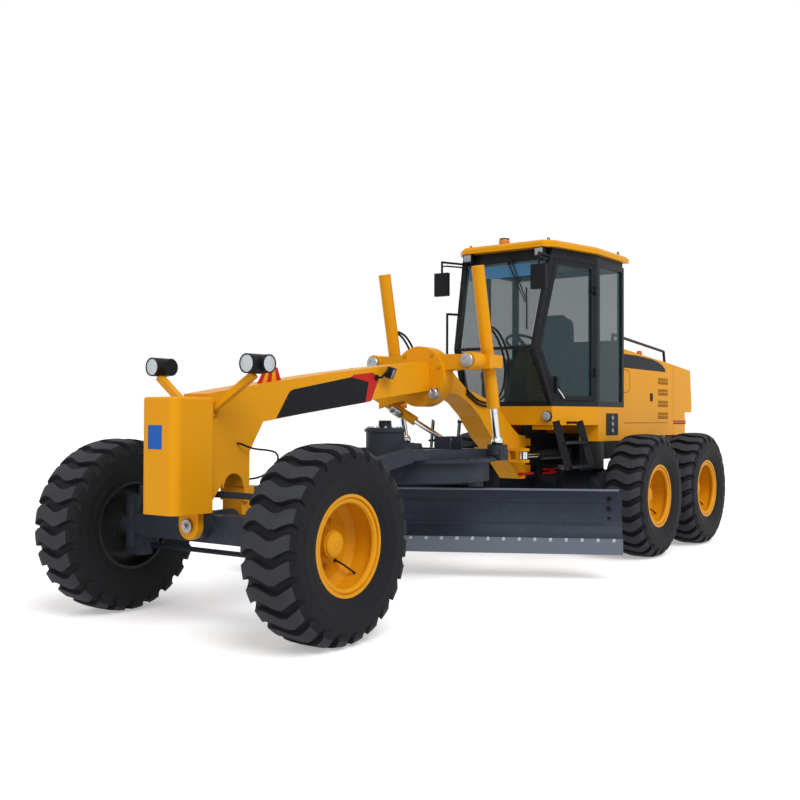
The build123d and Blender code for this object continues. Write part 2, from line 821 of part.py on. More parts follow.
def rear_frame():
    # Hinge head and neck, cross plate, two rails with cross members, and the rear plate with its hitch.
    wide = rail_inner + rail_width
    top = rail_top
    low_ear = front_ear_lower - rear_ear_thickness - running_gap
    high_ear = front_ear_upper + ear_thickness + running_gap
    head_top = high_ear + rear_ear_thickness
    shape = box(-neck_half, neck_half, neck_front_y, cross_y + 60, low_ear, head_top)
    shape += box(-wide, wide, cross_y, cross_y + 60, rail_bottom - 60, head_top)
    for side in (-1, 1):
        shape += box(side * rail_inner, side * wide, cross_y, rear_rail_end, rail_bottom, top)
    for low in (low_ear, high_ear):
        shape += box(-hinge_radius, hinge_radius, pivot_y, neck_front_y + 5, low, low + rear_ear_thickness)
        shape += Pos(0, pivot_y, low + rear_ear_thickness / 2) * Cylinder(hinge_radius, rear_ear_thickness)
    for low, high in ((low_ear, front_ear_lower + ear_thickness), (front_ear_upper, head_top)):
        shape += rod((0, pivot_y, low), (0, pivot_y, high), hinge_pin_radius)
    for y in (cab_rear_y - 20, tandem_y, hood_seam_y - 790, rear_rail_end - 80):
        shape += box(-rail_inner - 5, rail_inner + 5, y - 40, y + 40, rail_bottom + 20, top - 20)
    shape += box(-neck_half, neck_half, neck_front_y + 60, neck_front_y + 220, head_top - 5, cab_floor_low)
    for side in (-1, 1):
        shape += box(side * rail_inner, side * wide, 1700, 1820, top - 5, cab_floor_low)
        for low in (cylinder_z - 75, cylinder_z + 45):
            x0, x1 = side * (rear_anchor_x - 60), side * (rear_anchor_x + 60)
            shape += box(x0, x1, rear_anchor_y - 50, cross_y + 5, low, low + 30)
        x = side * rear_anchor_x
        shape += rod((x, rear_anchor_y, cylinder_z - 75), (x, rear_anchor_y, cylinder_z + 75), 28)
        shape += box(side * rail_inner, side * wide, tandem_y - 150, tandem_y + 150, 880, rail_bottom + 5)
    shape += box(-wide - 60, wide + 60, rear_rail_end - 20, rear_rail_end + 40, 1060, housing_bottom - 20)
    for low in (1090, 1210):
        tongue = box(-60, 60, rear_rail_end + 35, rear_rail_end + 170, low, low + 40)
        shape += tongue - rod((0, rear_rail_end + 110, 1000), (0, rear_rail_end + 110, 1300), hitch_bore)
    return shape


def tandem_axle():
    # Axle housing across the machine, with a slot-shaped gear case on each end and four stub axles.
    end = tandem_case_inner + 5
    shape = turned((-end, tandem_y, tyre_radius), (end, tandem_y, tyre_radius), [
        (0, 0),
        (190, 0),
        (190, end - 300),
        (270, end - 180),
        (270, end + 180),
        (190, end + 300),
        (190, 2 * end),
        (0, 2 * end),
    ])
    wide = rail_inner + rail_width
    shape += box(-wide, wide, tandem_y - 150, tandem_y + 150, tyre_radius + 100, 880)
    tip = wheel_x + hub_reach - 42
    for side in (-1, 1):
        x0 = min(side * tandem_case_inner, side * tandem_case_outer)
        plane = Plane(origin=(x0, tandem_y, tyre_radius), x_dir=(0, 1, 0), z_dir=(1, 0, 0))
        slot = plane * SlotCenterToCenter(tandem_spacing, 2 * tandem_case_radius)
        shape += extrude(slot, amount=tandem_case_outer - tandem_case_inner, dir=(1, 0, 0))
        for y in (middle_wheel_y, rear_wheel_y):
            base = side * (tandem_case_outer - 5)
            shape += rod((base, y, tyre_radius), (side * tip, y, tyre_radius), stub_radius)
    return shape


def articulation_ends():
    return (rear_anchor_x, rear_anchor_y, cylinder_z), (ear_eye_x, ear_eye_y, cylinder_z)


def articulation_barrel():
    # Left cylinder at rest, from the rear anchor forwards.
    a, b = articulation_ends()
    shape = cylinder_barrel(a, b, 80, 650, turn_barrel_radius, turn_rod_radius)
    shape += rod(a, on_line(a, b, 90), 30)
    shape += rod((a[0], a[1], cylinder_z - 42), (a[0], a[1], cylinder_z + 42), 55)
    return shape - rod((a[0], a[1], cylinder_z - 80), (a[0], a[1], cylinder_z + 80), 28 + pin_fit)


def articulation_rod():
    a, b = articulation_ends()
    shape = cylinder_rod(a, b, 380, math.dist(a, b) - 30, turn_barrel_radius, turn_rod_radius)
    return shape + rod((b[0], b[1], cylinder_z - 36), (b[0], b[1], cylinder_z + 36), 46)


def engine():
    front, rear = cab_rear_y + 330, hood_seam_y - 190
    shape = box(-300, 300, front, rear, rail_top + 2, 1980)
    shape += box(-250, 250, front + 100, rear - 100, 1980, 2080)
    for y in (front + 150, rear - 250):
        wide = rail_inner + rail_width / 2
        shape += box(-wide, wide, y, y + 120, rail_top + fit, rail_top + 60)
    return shape


def hood_outline(inset):
    front = cab_rear_y + hood_front_gap + inset
    rear = hood_seam_y - inset
    return [
        (front, hood_bottom),
        (front, hood_front_top - inset),
        (rear, hood_rear_top - inset),
        (rear, hood_bottom),
    ]


def hood():
    shape = side_plate(hood_outline(0), -hood_half, hood_half)
    inner = side_plate(hood_outline(hood_wall), -hood_half + hood_wall, hood_half - hood_wall)
    shape -= inner
    low = box(-hood_half + hood_wall, hood_half - hood_wall, cab_rear_y + hood_front_gap + hood_wall,
              hood_seam_y - hood_wall, hood_bottom - 1, hood_bottom + 50)
    shape -= low
    for side in (-1, 1):
        for z in louvre_heights:
            deep = side * (hood_half - louvre_depth)
            end = louvre_y + louvre_length
            shape -= box(deep, side * (hood_half + 1), louvre_y, end, z, z + louvre_height)
    for side in (-1, 1):
        x0, x1 = side * (rail_inner + rail_width), side * (hood_half - hood_wall)
        for y in (cab_rear_y + 330, hood_seam_y - 290):
            shape += box(x0 - side * 40, x1 + side * 5, y - 30, y + 30, rail_top, hood_bottom + 30)
    return shape


def rear_housing():
    front = hood_seam_y + 8
    outline = [
        (front, hood_bottom),
        (front, hood_rear_top - 2),
        (half_length - housing_rake, housing_top),
        (half_length, housing_bottom + 75),
        (half_length - 15, housing_bottom),
        (rear_rail_end + 42, housing_bottom),
        (rear_rail_end - 22, housing_bottom),
        (rear_rail_end - 22, hood_bottom),
    ]
    shape = side_plate(outline, -hood_half, hood_half)
    inner = [
        (front + 40, hood_bottom - 1),
        (front + 40, hood_rear_top - 40),
        (half_length - housing_rake - 60, housing_top - 30),
        (half_length - 70, housing_bottom + 75),
        (half_length - 80, housing_bottom + 30),
        (rear_rail_end - 60, housing_bottom + 30),
        (rear_rail_end - 60, hood_bottom - 1),
    ]
    shape -= side_plate(inner, -hood_half + 25, hood_half - 25)
    shape -= grille_slots()
    for side in (-1, 1):
        x0, x1 = side * (rail_inner + rail_width - 40), side * (hood_half - 20)
        shape += box(x0, x1, rear_rail_end - 300, rear_rail_end - 240, rail_top, hood_bottom + 30)
    return shape


def grille_slots():
    # Level slots in the raked rear face, between its upper edge and the bend below.
    low, high = housing_bottom + 120, housing_top - 60
    pitch = (high - low) / grille_slats
    face = half_length - housing_rake
    lean = housing_rake / (housing_top - housing_bottom - 75)
    slots = []
    for i in range(grille_slats):
        z = low + pitch * (i + 0.5)
        rear = face + (housing_top - z) * lean
        gap = pitch * 0.3
        slots.append(box(-grille_half, grille_half, rear - grille_depth, rear + 20, z - gap, z + gap))
    return slots


def cab_plan(inset):
    # Outline of the cab seen from above, moved inwards by the inset.
    return [
        (cab_front_half - inset * 0.8, cab_front_y + inset),
        (cab_middle_half - inset, cab_middle_y + inset * 0.1),
        (cab_middle_half - inset, cab_rear_y - inset),
        (-cab_middle_half + inset, cab_rear_y - inset),
        (-cab_middle_half + inset, cab_middle_y + inset * 0.1),
        (-cab_front_half + inset * 0.8, cab_front_y + inset),
    ]


def cab_platform():
    shape = flat_plate(cab_plan(0), skirt_bottom, cab_sill - fit)
    shape -= flat_plate(cab_plan(skirt_wall), skirt_bottom - 1, cab_floor_low)
    for side in (-1, 1):
        x0, x1 = side * 490, side * cab_middle_half
        shape += box(x0, x1, cab_middle_y + 20, cab_rear_y, tank_bottom, cab_floor_low + 5)
    return shape


def side_panel(points, outer, inner):
    # Prism in the slanted side wall: (run from the front post, height), depth inwards from outer to inner.
    out = (side_dir[1], -side_dir[0])
    base = (cab_front_half - out[0] * outer, cab_front_y - out[1] * outer, 0)
    plane = Plane(origin=base, x_dir=(side_dir[0], side_dir[1], 0), z_dir=(out[0], out[1], 0))
    face = plane * Polygon(*points, align=None)
    return extrude(face, amount=inner - outer, dir=(-out[0], -out[1], 0))


def door_outline(inset):
    # Five-sided outline of the side wall between the front and middle posts, moved inwards.
    kink = (cab_kink_y - cab_front_y) / side_dir[1]
    head = (cab_head_y - cab_front_y) / side_dir[1]
    return [
        (inset, cab_sill + inset),
        (kink + inset, cab_kink_z),
        (head + inset, cab_top - inset),
        (side_run - inset, cab_top - inset),
        (side_run - inset, cab_sill + inset),
    ]


def hinge_round(low, high, radius):
    # Upright cylinder on the left door's hinge axis, outside its rear edge.
    run = side_run - door_inset + door_gap / 2
    x = cab_front_half + run * side_dir[0] + door_hinge_depth * side_dir[1]
    y = cab_front_y + run * side_dir[1] - door_hinge_depth * side_dir[0]
    return rod((x, y, low), (x, y, high), radius)


def hinge_leaf(low, high):
    near, far = side_run - door_inset - 5, side_run - 15
    leaf = side_panel([(near, low), (far, low), (far, high), (near, high)], -door_hinge_depth - 8, -5)
    inner = side_run - post_width + 6
    return leaf + side_panel([(inner, low), (far, low), (far, high), (inner, high)], -6, 2)


def side_wall():
    shape = side_panel(door_outline(0), 0, cab_wall)
    shape -= side_panel(door_outline(post_width), -1, cab_wall + 1)
    for z in door_hinge_heights:
        shape += hinge_leaf(z - 25, z - running_gap)
        shape += hinge_leaf(z + door_hinge_height + running_gap, z + door_hinge_height + 25)
        shape += hinge_round(z - 25, z + door_hinge_height + 25, door_pin_radius)
    rear = box(cab_middle_half - cab_wall, cab_middle_half, cab_middle_y, cab_rear_y, cab_sill, cab_top)
    rear -= box(cab_middle_half - cab_wall - 1, cab_middle_half + 1, cab_middle_y + post_width,
                cab_rear_y - post_width, cab_sill + post_width, cab_top - post_width)
    return shape + rear


def front_bar(y, z, half, depth, height):
    return box(-half, half, y, y + depth, z, z + height)


def cab_frame():
    left = side_wall()
    shape = left + mirrored(left)
    half = cab_middle_half - 5
    wall = box(-half, half, cab_rear_y - cab_wall, cab_rear_y, cab_sill, cab_top)
    wall -= box(-half + post_width, half - post_width, cab_rear_y - cab_wall - 1, cab_rear_y + 1,
                hood_front_top + 60, cab_top - post_width)
    shape += wall
    shape += front_bar(cab_front_y, cab_sill, cab_front_half - 5, 45, 50)
    shape += front_bar(cab_head_y + 15, cab_top - 60, cab_front_half - 8, 45, 60)
    kink_half = cab_front_half - 75
    shape += front_bar(cab_kink_y + 25, cab_kink_z - 15, kink_half, 40, 30)
    return shape + flat_plate(cab_plan(12), cab_top, cab_top + band_height)


def front_pane(low, high, half_low, half_high):
    # Flat pane leaning between two heights; low and high are (y, z).
    a, b = Vector(0, *low), Vector(0, *high)
    plane = Plane(origin=a, x_dir=(1, 0, 0), z_dir=Vector(1, 0, 0).cross(b - a))
    length = (b - a).length
    outline = [(-half_low, 0), (half_low, 0), (half_high, length), (-half_high, length)]
    return extrude(plane * Polygon(*outline, align=None), amount=glass_thickness)


def cab_glass():
    kink_half = cab_front_half - 75
    foot, under = (cab_front_y - 8, cab_sill + 52), (cab_kink_y + 46, cab_kink_z - 15 - fit)
    over, head = (cab_kink_y + 52, cab_kink_z + 15 + fit), (cab_head_y + 8, cab_top - 64)
    panes = [
        front_pane(foot, under, cab_front_half - 62, kink_half - 62),
        front_pane(over, head, kink_half - 62, cab_front_half - 66),
    ]
    inset = post_width + fit
    x0 = cab_middle_half - cab_wall / 2
    for side in (-1, 1):
        panes.append(box(side * x0, side * (x0 + glass_thickness), cab_middle_y + inset, cab_rear_y - inset,
                         cab_sill + inset, cab_top - inset))
    half = cab_middle_half - 5 - inset
    y0 = cab_rear_y - cab_wall / 2
    panes.append(box(-half, half, y0, y0 + glass_thickness, hood_front_top + 60 + fit, cab_top - inset))
    return Compound(panes)


def door():
    shape = side_panel(door_outline(door_inset), 0, cab_wall - 8)
    shape -= side_panel(door_outline(pane_inset), -1, cab_wall)
    for z in door_hinge_heights:
        high = z + door_hinge_height
        shape += side_panel([(side_run - door_inset - 60, z), (side_run - door_inset, z),
                             (side_run - door_inset, high), (side_run - door_inset - 60, high)], -12, 1)
        shape += hinge_round(z, high, door_pin_radius + 6)
    for z in door_hinge_heights:
        shape -= hinge_round(z - 1, z + door_hinge_height + 1, door_pin_radius + pin_fit)
    low = cab_sill + 140
    return shape + side_panel([(40, low), (75, low), (75, low + 170), (40, low + 170)], -28, 1)


def door_glass():
    return side_panel(door_outline(pane_inset + 0.5), 16, 16 + glass_thickness)


def roof():
    low = cab_top + band_height
    out = roof_overhang
    plan = [
        (cab_front_half - 60, cab_front_y - 60 - out),
        (cab_front_half + 10 + out, cab_front_y + 20),
        (cab_middle_half + out, cab_middle_y - 60),
        (cab_middle_half + out, cab_rear_y + 60),
    ]
    plan += [(-x, y) for x, y in reversed(plan)]
    shape = flat_plate(plan, low, low + roof_thickness)
    return chamfer(shape.faces().sort_by(Axis.Z)[-1].edges(), 28)


def seat():
    shape = box(-170, 170, 1150, 1550, cab_sill, cab_sill + 330)
    shape += box(-250, 250, 1080, 1620, cab_sill + 330, cab_sill + 450)
    shape += box(-240, 240, 1530, 1640, cab_sill + 450, cab_sill + 1050)
    return shape


def console():
    shape = box(-130, 130, 640, 800, cab_sill, cab_sill + 520)
    shape += rod((0, 740, cab_sill + 500), (0, 835, cab_sill + 700), 30)
    wheel = Plane(origin=(0, 835, cab_sill + 700), z_dir=(0, 90, 190)) * Torus(190, 16)
    spoke = Plane(origin=(0, 835, cab_sill + 700), z_dir=(0, 90, 190)) * Box(380, 40, 14)
    return shape + wheel + spoke


def ladder():
    shape = None
    for y in (220, 760):
        top = (745, y - 60, ladder_top)
        foot = (850, y + 30, ladder_top - ladder_drop)
        plate = bar(top, foot, 16, 75)
        shape = plate if shape is None else shape + plate
    for share in (0.45, 0.95):
        x = 745 + 105 * share
        z = ladder_top - ladder_drop * share
        y = -60 + 90 * share
        shape += box(x - 45, x + 45, 220 + y, 760 + y, z - 12, z + 12)
    return shape + box(cab_front_half - 20, 770, 690, 710, ladder_top - 30, ladder_top - 5)


def ladders():
    shape = ladder() - cab_solid()
    return both(shape)


def cab_solid():
    return flat_plate(cab_plan(0), skirt_bottom - 100, cab_top)


def handrails():
    x = hood_half - 90
    points = [
        (x, cab_rear_y + 140, hood_front_top - 20),
        (x, cab_rear_y + 160, hood_front_top + 150),
        (x, hood_seam_y - 100, hood_rear_top + 170),
        (x, hood_seam_y - 60, hood_rear_top - 2),
    ]
    hood_rail = tube(points, rail_tube) - side_plate(hood_outline(0), -hood_half, hood_half)
    low, high = cab_sill + 400, cab_kink_z + 390
    grab = tube([(-490, 290, high), (-560, 150, high), (-560, 150, low), (-490, 285, low)], 13)
    return Compound([hood_rail, mirrored(hood_rail), grab - cab_frame()])


def mirror_arm(side):
    high = cab_top - 50
    head = (side * 590, 90, high - 220)
    points = [(side * 520, 470, high + 15), (side * 590, 90, high), (side * 590, 90, high - 130)]
    shape = tube(points, 12)
    x = head[0]
    shape += box(x - 85, x + 85, 65, 115, high - 370, high - 120)
    return shape - cab_frame()


def mirrors():
    return Compound([mirror_arm(-1), mirror_arm(1)])


def lamps():
    lamps_list = []
    for side in (-1, 1):
        x = side * 440
        top = cab_top + band_height
        lamps_list.append(box(x - 55, x + 55, cab_front_y - 90, cab_front_y - 20, top - 95, top))
    beacon_z = cab_top + band_height + roof_thickness
    lamps_list.append(rod((-130, 640, beacon_z), (-130, 640, beacon_z + 105), 55))
    skirt_z = skirt_bottom + 95
    lamps_list.append(rod((500, cab_front_y - 36, skirt_z), (500, cab_front_y, skirt_z), 55))
    return Compound(lamps_list)


def lamp_bracket(side):
    # Square tube from a foot on the beam's side up to the headlamp.
    inner = beam_half_width - 1
    y = front_axle_y - 150
    foot = box(side * inner, side * (beam_half_width + 15), y - 40, y + 40, 1530, 1640)
    arm = bar((side * (beam_half_width + 10), y, 1585), (side * lamp_x, lamp_y - 20, lamp_z - 75), 50, 50)
    return foot + arm


def headlamps():
    # Twin lamps: one looks ahead, the other outwards; each barrel is hollow in front for its lens.
    shapes = []
    for side in (-1, 1):
        x = side * lamp_x
        head = rod((x, lamp_y - 100, lamp_z), (x, lamp_y + 50, lamp_z), lamp_radius)
        y = lamp_y + 30
        head += rod((x - side * 70, y, lamp_z), (x + side * 100, y, lamp_z), lamp_radius - 4)
        head -= rod((x, lamp_y - 101, lamp_z), (x, lamp_y - 88, lamp_z), lamp_radius - 8)
        outer = x + side * 101
        head -= rod((outer, y, lamp_z), (outer - side * 13, y, lamp_z), lamp_radius - 12)
        shapes.append(head - lamp_bracket(side))
    return Compound(shapes)


os.makedirs("parts", exist_ok=True)

wheels()
frame_shape = front_frame()
left_frame, right_frame = lean_frame(1), lean_frame(-1)
left_door, left_pane = door(), door_glass()
left_barrel, left_rod = articulation_barrel(), articulation_rod()
nodes = {
    "front_frame": frame_shape,
    "front_box": front_box(),
    "saddle": saddle(frame_shape),
    "lift_yokes": lift_yokes(),
    "headlamps": headlamps(),
    "front_axle": front_axle(),
    "lean_frames": Compound([left_frame, right_frame]),
    "lean_bar": lean_bar(),
    "knuckle_left": knuckle(1),
    "knuckle_right": knuckle(-1),
    "tie_rod": tie_rod(),
    "steer_barrel": steer_barrel(),
    "steer_rod": steer_rod(),
    "lift_barrel_left": lift_barrel(),
    "lift_barrel_right": mirrored(lift_barrel()),
    "lift_rod_left": lift_rod(),
    "lift_rod_right": mirrored(lift_rod()),
    "shift_barrel": shift_barrel(),
    "shift_rod": shift_rod(),
    "drawbar": drawbar(),
    "circle_drive": circle_drive(),
    "circle": circle(),
    "moldboard": moldboard(),
    "cutting_edge": cutting_edge(),
    "rear_frame": rear_frame(),
    "tandem_axle": tandem_axle(),
    "articulation_barrel_left": left_barrel,
    "articulation_barrel_right": mirrored(left_barrel),
    "articulation_rod_left": left_rod,
    "articulation_rod_right": mirrored(left_rod),
    "engine": engine(),
    "hood": hood(),
    "rear_housing": rear_housing(),
    "cab_platform": cab_platform(),
    "cab_frame": cab_frame(),
    "cab_glass": cab_glass(),
    "cab_roof": roof(),
    "door_left": left_door,
    "door_glass_left": left_pane,
    "door_right": mirrored(left_door),
    "door_glass_right": mirrored(left_pane),
    "seat": seat(),
    "console": console(),
    "ladders": ladders(),
    "handrails": handrails(),
    "mirrors": mirrors(),
    "lamps": lamps(),
}
for name, shape in nodes.items():
    save(name, shape)
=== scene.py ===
import math
import bmesh
import bpy
import numpy as np
from mathutils import Matrix, Vector


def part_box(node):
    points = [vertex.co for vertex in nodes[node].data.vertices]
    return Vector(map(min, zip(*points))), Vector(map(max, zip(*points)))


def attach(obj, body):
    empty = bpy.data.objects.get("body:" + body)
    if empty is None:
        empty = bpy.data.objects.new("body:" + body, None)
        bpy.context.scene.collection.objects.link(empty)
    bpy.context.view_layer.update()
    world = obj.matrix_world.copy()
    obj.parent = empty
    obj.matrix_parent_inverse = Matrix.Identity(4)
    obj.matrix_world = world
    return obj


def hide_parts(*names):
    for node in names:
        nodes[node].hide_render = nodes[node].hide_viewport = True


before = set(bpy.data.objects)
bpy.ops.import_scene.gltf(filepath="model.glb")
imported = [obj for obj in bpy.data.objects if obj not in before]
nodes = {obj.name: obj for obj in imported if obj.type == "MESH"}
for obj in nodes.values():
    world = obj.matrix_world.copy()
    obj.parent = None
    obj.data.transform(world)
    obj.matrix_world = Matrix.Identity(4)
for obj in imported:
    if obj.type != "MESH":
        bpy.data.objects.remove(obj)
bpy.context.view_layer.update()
scene = bpy.context.scene
print("frame loaded")


# colours and nodes

def linear(hexText):
    # sRGB hex to the linear colour that Blender mixes
    srgb = np.array([int(hexText[i:i + 2], 16) for i in (1, 3, 5)]) / 255
    value = np.where(srgb <= 0.04045, srgb / 12.92, ((srgb + 0.055) / 1.055) ** 2.4)
    return (*value.tolist(), 1.0)


def addNode(tree, kind, inputs=None, **settings):
    # a pair (node, socket) as an input is a link, anything else a value
    node = tree.nodes.new(kind)
    for key, value in settings.items():
        setattr(node, key, value)
    for key, value in (inputs or {}).items():
        if isinstance(value, tuple) and hasattr(value[0], "outputs"):
            tree.links.new(value[0].outputs[value[1]], node.inputs[key])
        else:
            node.inputs[key].default_value = value
    return node


def emptyTree(owner):
    owner.use_nodes = True
    owner.node_tree.nodes.clear()
    return owner.node_tree


def addObject(name, data):
    obj = bpy.data.objects.new(name, data)
    scene.collection.objects.link(obj)
    return obj


def newFinish(name, inputs):
    mat = bpy.data.materials.new(name)
    tree = emptyTree(mat)
    shader = addNode(tree, "ShaderNodeBsdfPrincipled", inputs)
    addNode(tree, "ShaderNodeOutputMaterial", {"Surface": (shader, "BSDF")})
    coords = addNode(tree, "ShaderNodeTexCoord")
    return mat, tree, shader, (coords, "Object")


def grainOf(tree, vector, width, **more):
    # noise whose features are about that many millimetres wide
    return addNode(tree, "ShaderNodeTexNoise", {"Vector": vector, "Scale": 1000.0 / width, **more})


def blend(tree, share, low, high):
    return addNode(tree, "ShaderNodeMix", {"Factor": share, "A": low, "B": high}, data_type="RGBA")


def mapped(tree, value, to, source=(0.0, 1.0)):
    # a value carried from its source range to another range
    return addNode(tree, "ShaderNodeMapRange", {"Value": value, "From Min": source[0], "From Max": source[1],
                                                "To Min": to[0], "To Max": to[1]})


def wire(tree, shader, colour, rough, normal):
    for key, (node, socket) in (("Base Color", colour), ("Roughness", rough), ("Normal", normal)):
        tree.links.new(node.outputs[socket], shader.inputs[key])


def enamel(name, low, high, rough, dust, edgeRadius):
    # sprayed two-pack enamel on plate: even colour, orange peel, a little dust, edges rounded by the paint
    gloss = {"Specular IOR Level": 0.09, "Coat Weight": 0.03, "Coat Roughness": 0.15}
    mat, tree, shader, place = newFinish(name, gloss)
    cloud = grainOf(tree, place, 420, Detail=5.0)
    tone = blend(tree, (cloud, "Fac"), linear(low), linear(high))
    speck = grainOf(tree, place, 55, Detail=8.0, Roughness=0.7)
    film = mapped(tree, (speck, "Fac"), (0.0, dust), (0.52, 0.8))
    coat = blend(tree, (film, "Result"), (tone, "Result"), linear("#8a8070"))
    matte = mapped(tree, (speck, "Fac"), (rough - 0.06, rough + 0.1))
    edge = addNode(tree, "ShaderNodeBevel", {"Radius": edgeRadius}, samples=3)
    # peel is 2 mm, drawn coarser to show
    peel = grainOf(tree, place, 6)
    bump = addNode(tree, "ShaderNodeBump", {"Strength": 0.05, "Distance": 0.0006, "Height": (peel, "Fac"),
                                            "Normal": (edge, "Normal")})
    wire(tree, shader, (coat, "Result"), (matte, "Result"), (bump, "Normal"))
    return mat


def rimEnamel(name, outside, shadedInside, reach):
    # enamel on the wheel's face with a little road dirt; the side that looks at the machine is painted near
    # black, as painted shade
    mat, tree, shader, place = newFinish(name, {"Specular IOR Level": 0.15})
    apart = addNode(tree, "ShaderNodeSeparateXYZ", {"Vector": place})
    out = addNode(tree, "ShaderNodeMath", {0: (apart, "X")}, operation="ABSOLUTE")
    face = mapped(tree, (out, "Value"), (0.0, 1.0), (reach - 0.002, reach + 0.002))
    grime = grainOf(tree, place, 60, Detail=7.0)
    # painted shade: the inner side takes a near-black colour, varied a little by the noise
    insideShade = blend(tree, (grime, "Fac"), linear(shadedInside), linear("#2a2824"))
    film = mapped(tree, (grime, "Fac"), (0.0, 0.2), (0.5, 0.9))
    bright = blend(tree, (film, "Result"), linear(outside), linear("#8a6a2a"))
    tone = blend(tree, (face, "Result"), (insideShade, "Result"), (bright, "Result"))
    edge = addNode(tree, "ShaderNodeBevel", {"Radius": 0.005}, samples=3)
    matte = mapped(tree, (grime, "Fac"), (0.34, 0.5))
    wire(tree, shader, (tone, "Result"), (matte, "Result"), (edge, "Normal"))
    return mat


def bareMetal(name, low, high, rough, grain, stretch):
    # bare or plated metal: fine scratches, crowded along the axis that the stretch names
    mat, tree, shader, place = newFinish(name, {"Metallic": 1.0})
    lay = addNode(tree, "ShaderNodeMapping", {"Vector": place, "Scale": stretch})
    scratch = grainOf(tree, (lay, "Vector"), grain, Detail=6.0)
    tone = blend(tree, (scratch, "Fac"), linear(low), linear(high))
    matte = mapped(tree, (scratch, "Fac"), (rough - 0.08, rough + 0.12))
    bump = addNode(tree, "ShaderNodeBump", {"Strength": 0.08, "Distance": 0.0005, "Height": (scratch, "Fac")})
    wire(tree, shader, (tone, "Result"), (matte, "Result"), (bump, "Normal"))
    return mat


def moulded(name, low, high, rough, grain, depth, ior=1.5):
    # rubber, plastic, cloth or cast iron: a matt skin with a fine grain
    mat, tree, shader, place = newFinish(name, {"IOR": ior, "Specular IOR Level": 0.12})
    cloud = grainOf(tree, place, 160, Detail=6.0)
    tone = blend(tree, (cloud, "Fac"), linear(low), linear(high))
    skin = grainOf(tree, place, grain, Detail=4.0)
    matte = mapped(tree, (cloud, "Fac"), (rough - 0.08, rough + 0.08))
    bump = addNode(tree, "ShaderNodeBump", {"Strength": 0.25, "Distance": depth, "Height": (skin, "Fac")})
    wire(tree, shader, (tone, "Result"), (matte, "Result"), (bump, "Normal"))
    return mat


def clearPane(name, tint, rough, see):
    # toughened glass or clear polycarbonate: tinted in the mass, with a faint film of dust
    mat, tree, shader, place = newFinish(name, {"Base Color": linear(tint), "IOR": 1.5, "Alpha": see})
    film = grainOf(tree, place, 300, Detail=4.0)
    matte = mapped(tree, (film, "Fac"), (rough, rough + 0.05))
    tree.links.new(matte.outputs["Result"], shader.inputs["Roughness"])
    return mat


finishes = {
    "yellow": enamel("yellow_enamel", "#dc940c", "#e39b12", 0.38, 0.03, 0.006),
    # the rim's second colour is painted shade for its inner side
    "rim": rimEnamel("wheel_enamel", "#d8930e", "#1b1c20", 1.0135),
    "red": enamel("red_enamel", "#b01c1c", "#c42622", 0.34, 0.04, 0.002),
    "blue": enamel("blue_enamel", "#1f55a8", "#2760b4", 0.34, 0.04, 0.002),
    "vinyl": enamel("black_vinyl", "#101216", "#16181d", 0.44, 0.05, 0.001),
    "grey": enamel("slate_grey_enamel", "#2b2f38", "#353a44", 0.40, 0.10, 0.005),
    "black": enamel("black_enamel", "#15171b", "#1d2025", 0.38, 0.08, 0.004),
    "blade": enamel("blade_grey_enamel", "#2b303b", "#373d4a", 0.34, 0.10, 0.004),
    # steel for the cutting edge; the same finish makes the painted highlight strip on the blade's top
    "edge": bareMetal("wear_steel_and_painted_highlight", "#4d525b", "#747a85", 0.42, 9, (1, 1, 6)),
    "chrome": bareMetal("hard_chrome", "#c9ccd0", "#e2e4e6", 0.14, 4, (1, 1, 1)),
    "zinc": bareMetal("zinc_plate", "#8f9296", "#b0b3b5", 0.38, 5, (1, 1, 1)),
    "iron": moulded("cast_iron", "#33353a", "#42454b", 0.62, 3, 0.0008),
    "tyre": moulded("tyre_rubber", "#131417", "#1e1f22", 0.66, 4, 0.0009, 1.52),
    "cloth": moulded("seat_cloth", "#141518", "#1e1f23", 0.85, 2.5, 0.0012),
    "plastic": moulded("moulded_plastic", "#121316", "#1b1c20", 0.5, 2, 0.0004),
    "rubber": moulded("hose_rubber", "#0e0f11", "#17181a", 0.55, 3, 0.0003),
    # lighter rubber for the lug tops on the tread crown
    "treadTop": moulded("lighter_lug_top_rubber", "#2c2d31", "#404146", 0.74, 5, 0.0009, 1.52),
    "glass": clearPane("tinted_glass", "#26434a", 0.03, 0.38),
    "band": clearPane("sun_band_film", "#2f6f9a", 0.08, 0.72),
    "lens": clearPane("lamp_lens", "#dfe6ea", 0.05, 0.42),
    "amber": clearPane("amber_lens", "#d9780c", 0.12, 0.9),
    "redLens": clearPane("red_lens", "#9c1414", 0.12, 0.92),
}

finishOf = {
    "yellow": ["front_frame", "front_box", "saddle", "lift_yokes", "lift_barrel_left", "lift_barrel_right",
               "shift_barrel", "hood", "rear_housing", "cab_platform", "cab_roof"],
    "grey": ["front_axle", "lean_frames", "lean_bar", "knuckle_left", "knuckle_right", "tie_rod", "drawbar",
             "circle_drive", "circle", "tandem_axle"],
    "blade": ["moldboard"],
    "edge": ["cutting_edge"],
    "chrome": ["steer_rod", "lift_rod_left", "lift_rod_right", "shift_rod", "articulation_rod_left",
               "articulation_rod_right"],
    "black": ["steer_barrel", "rear_frame", "articulation_barrel_left", "articulation_barrel_right",
              "cab_frame", "door_left", "door_right", "ladders", "handrails"],
    "iron": ["engine"],
    "glass": ["cab_glass", "door_glass_left", "door_glass_right"],
    "cloth": ["seat"],
    "plastic": ["console", "mirrors", "lamps", "headlamps"],
}
wheelPlaces = [row + "_" + side for row in ("front", "middle", "rear") for side in ("left", "right")]
for place in wheelPlaces:
    finishOf.setdefault("rim", []).append("rim_" + place)
for finish, names in finishOf.items():
    for name in names:
        data = nodes[name].data
        data.materials.clear()
        data.materials.append(finishes[finish])
print("CAD nodes painted")


# surfaces

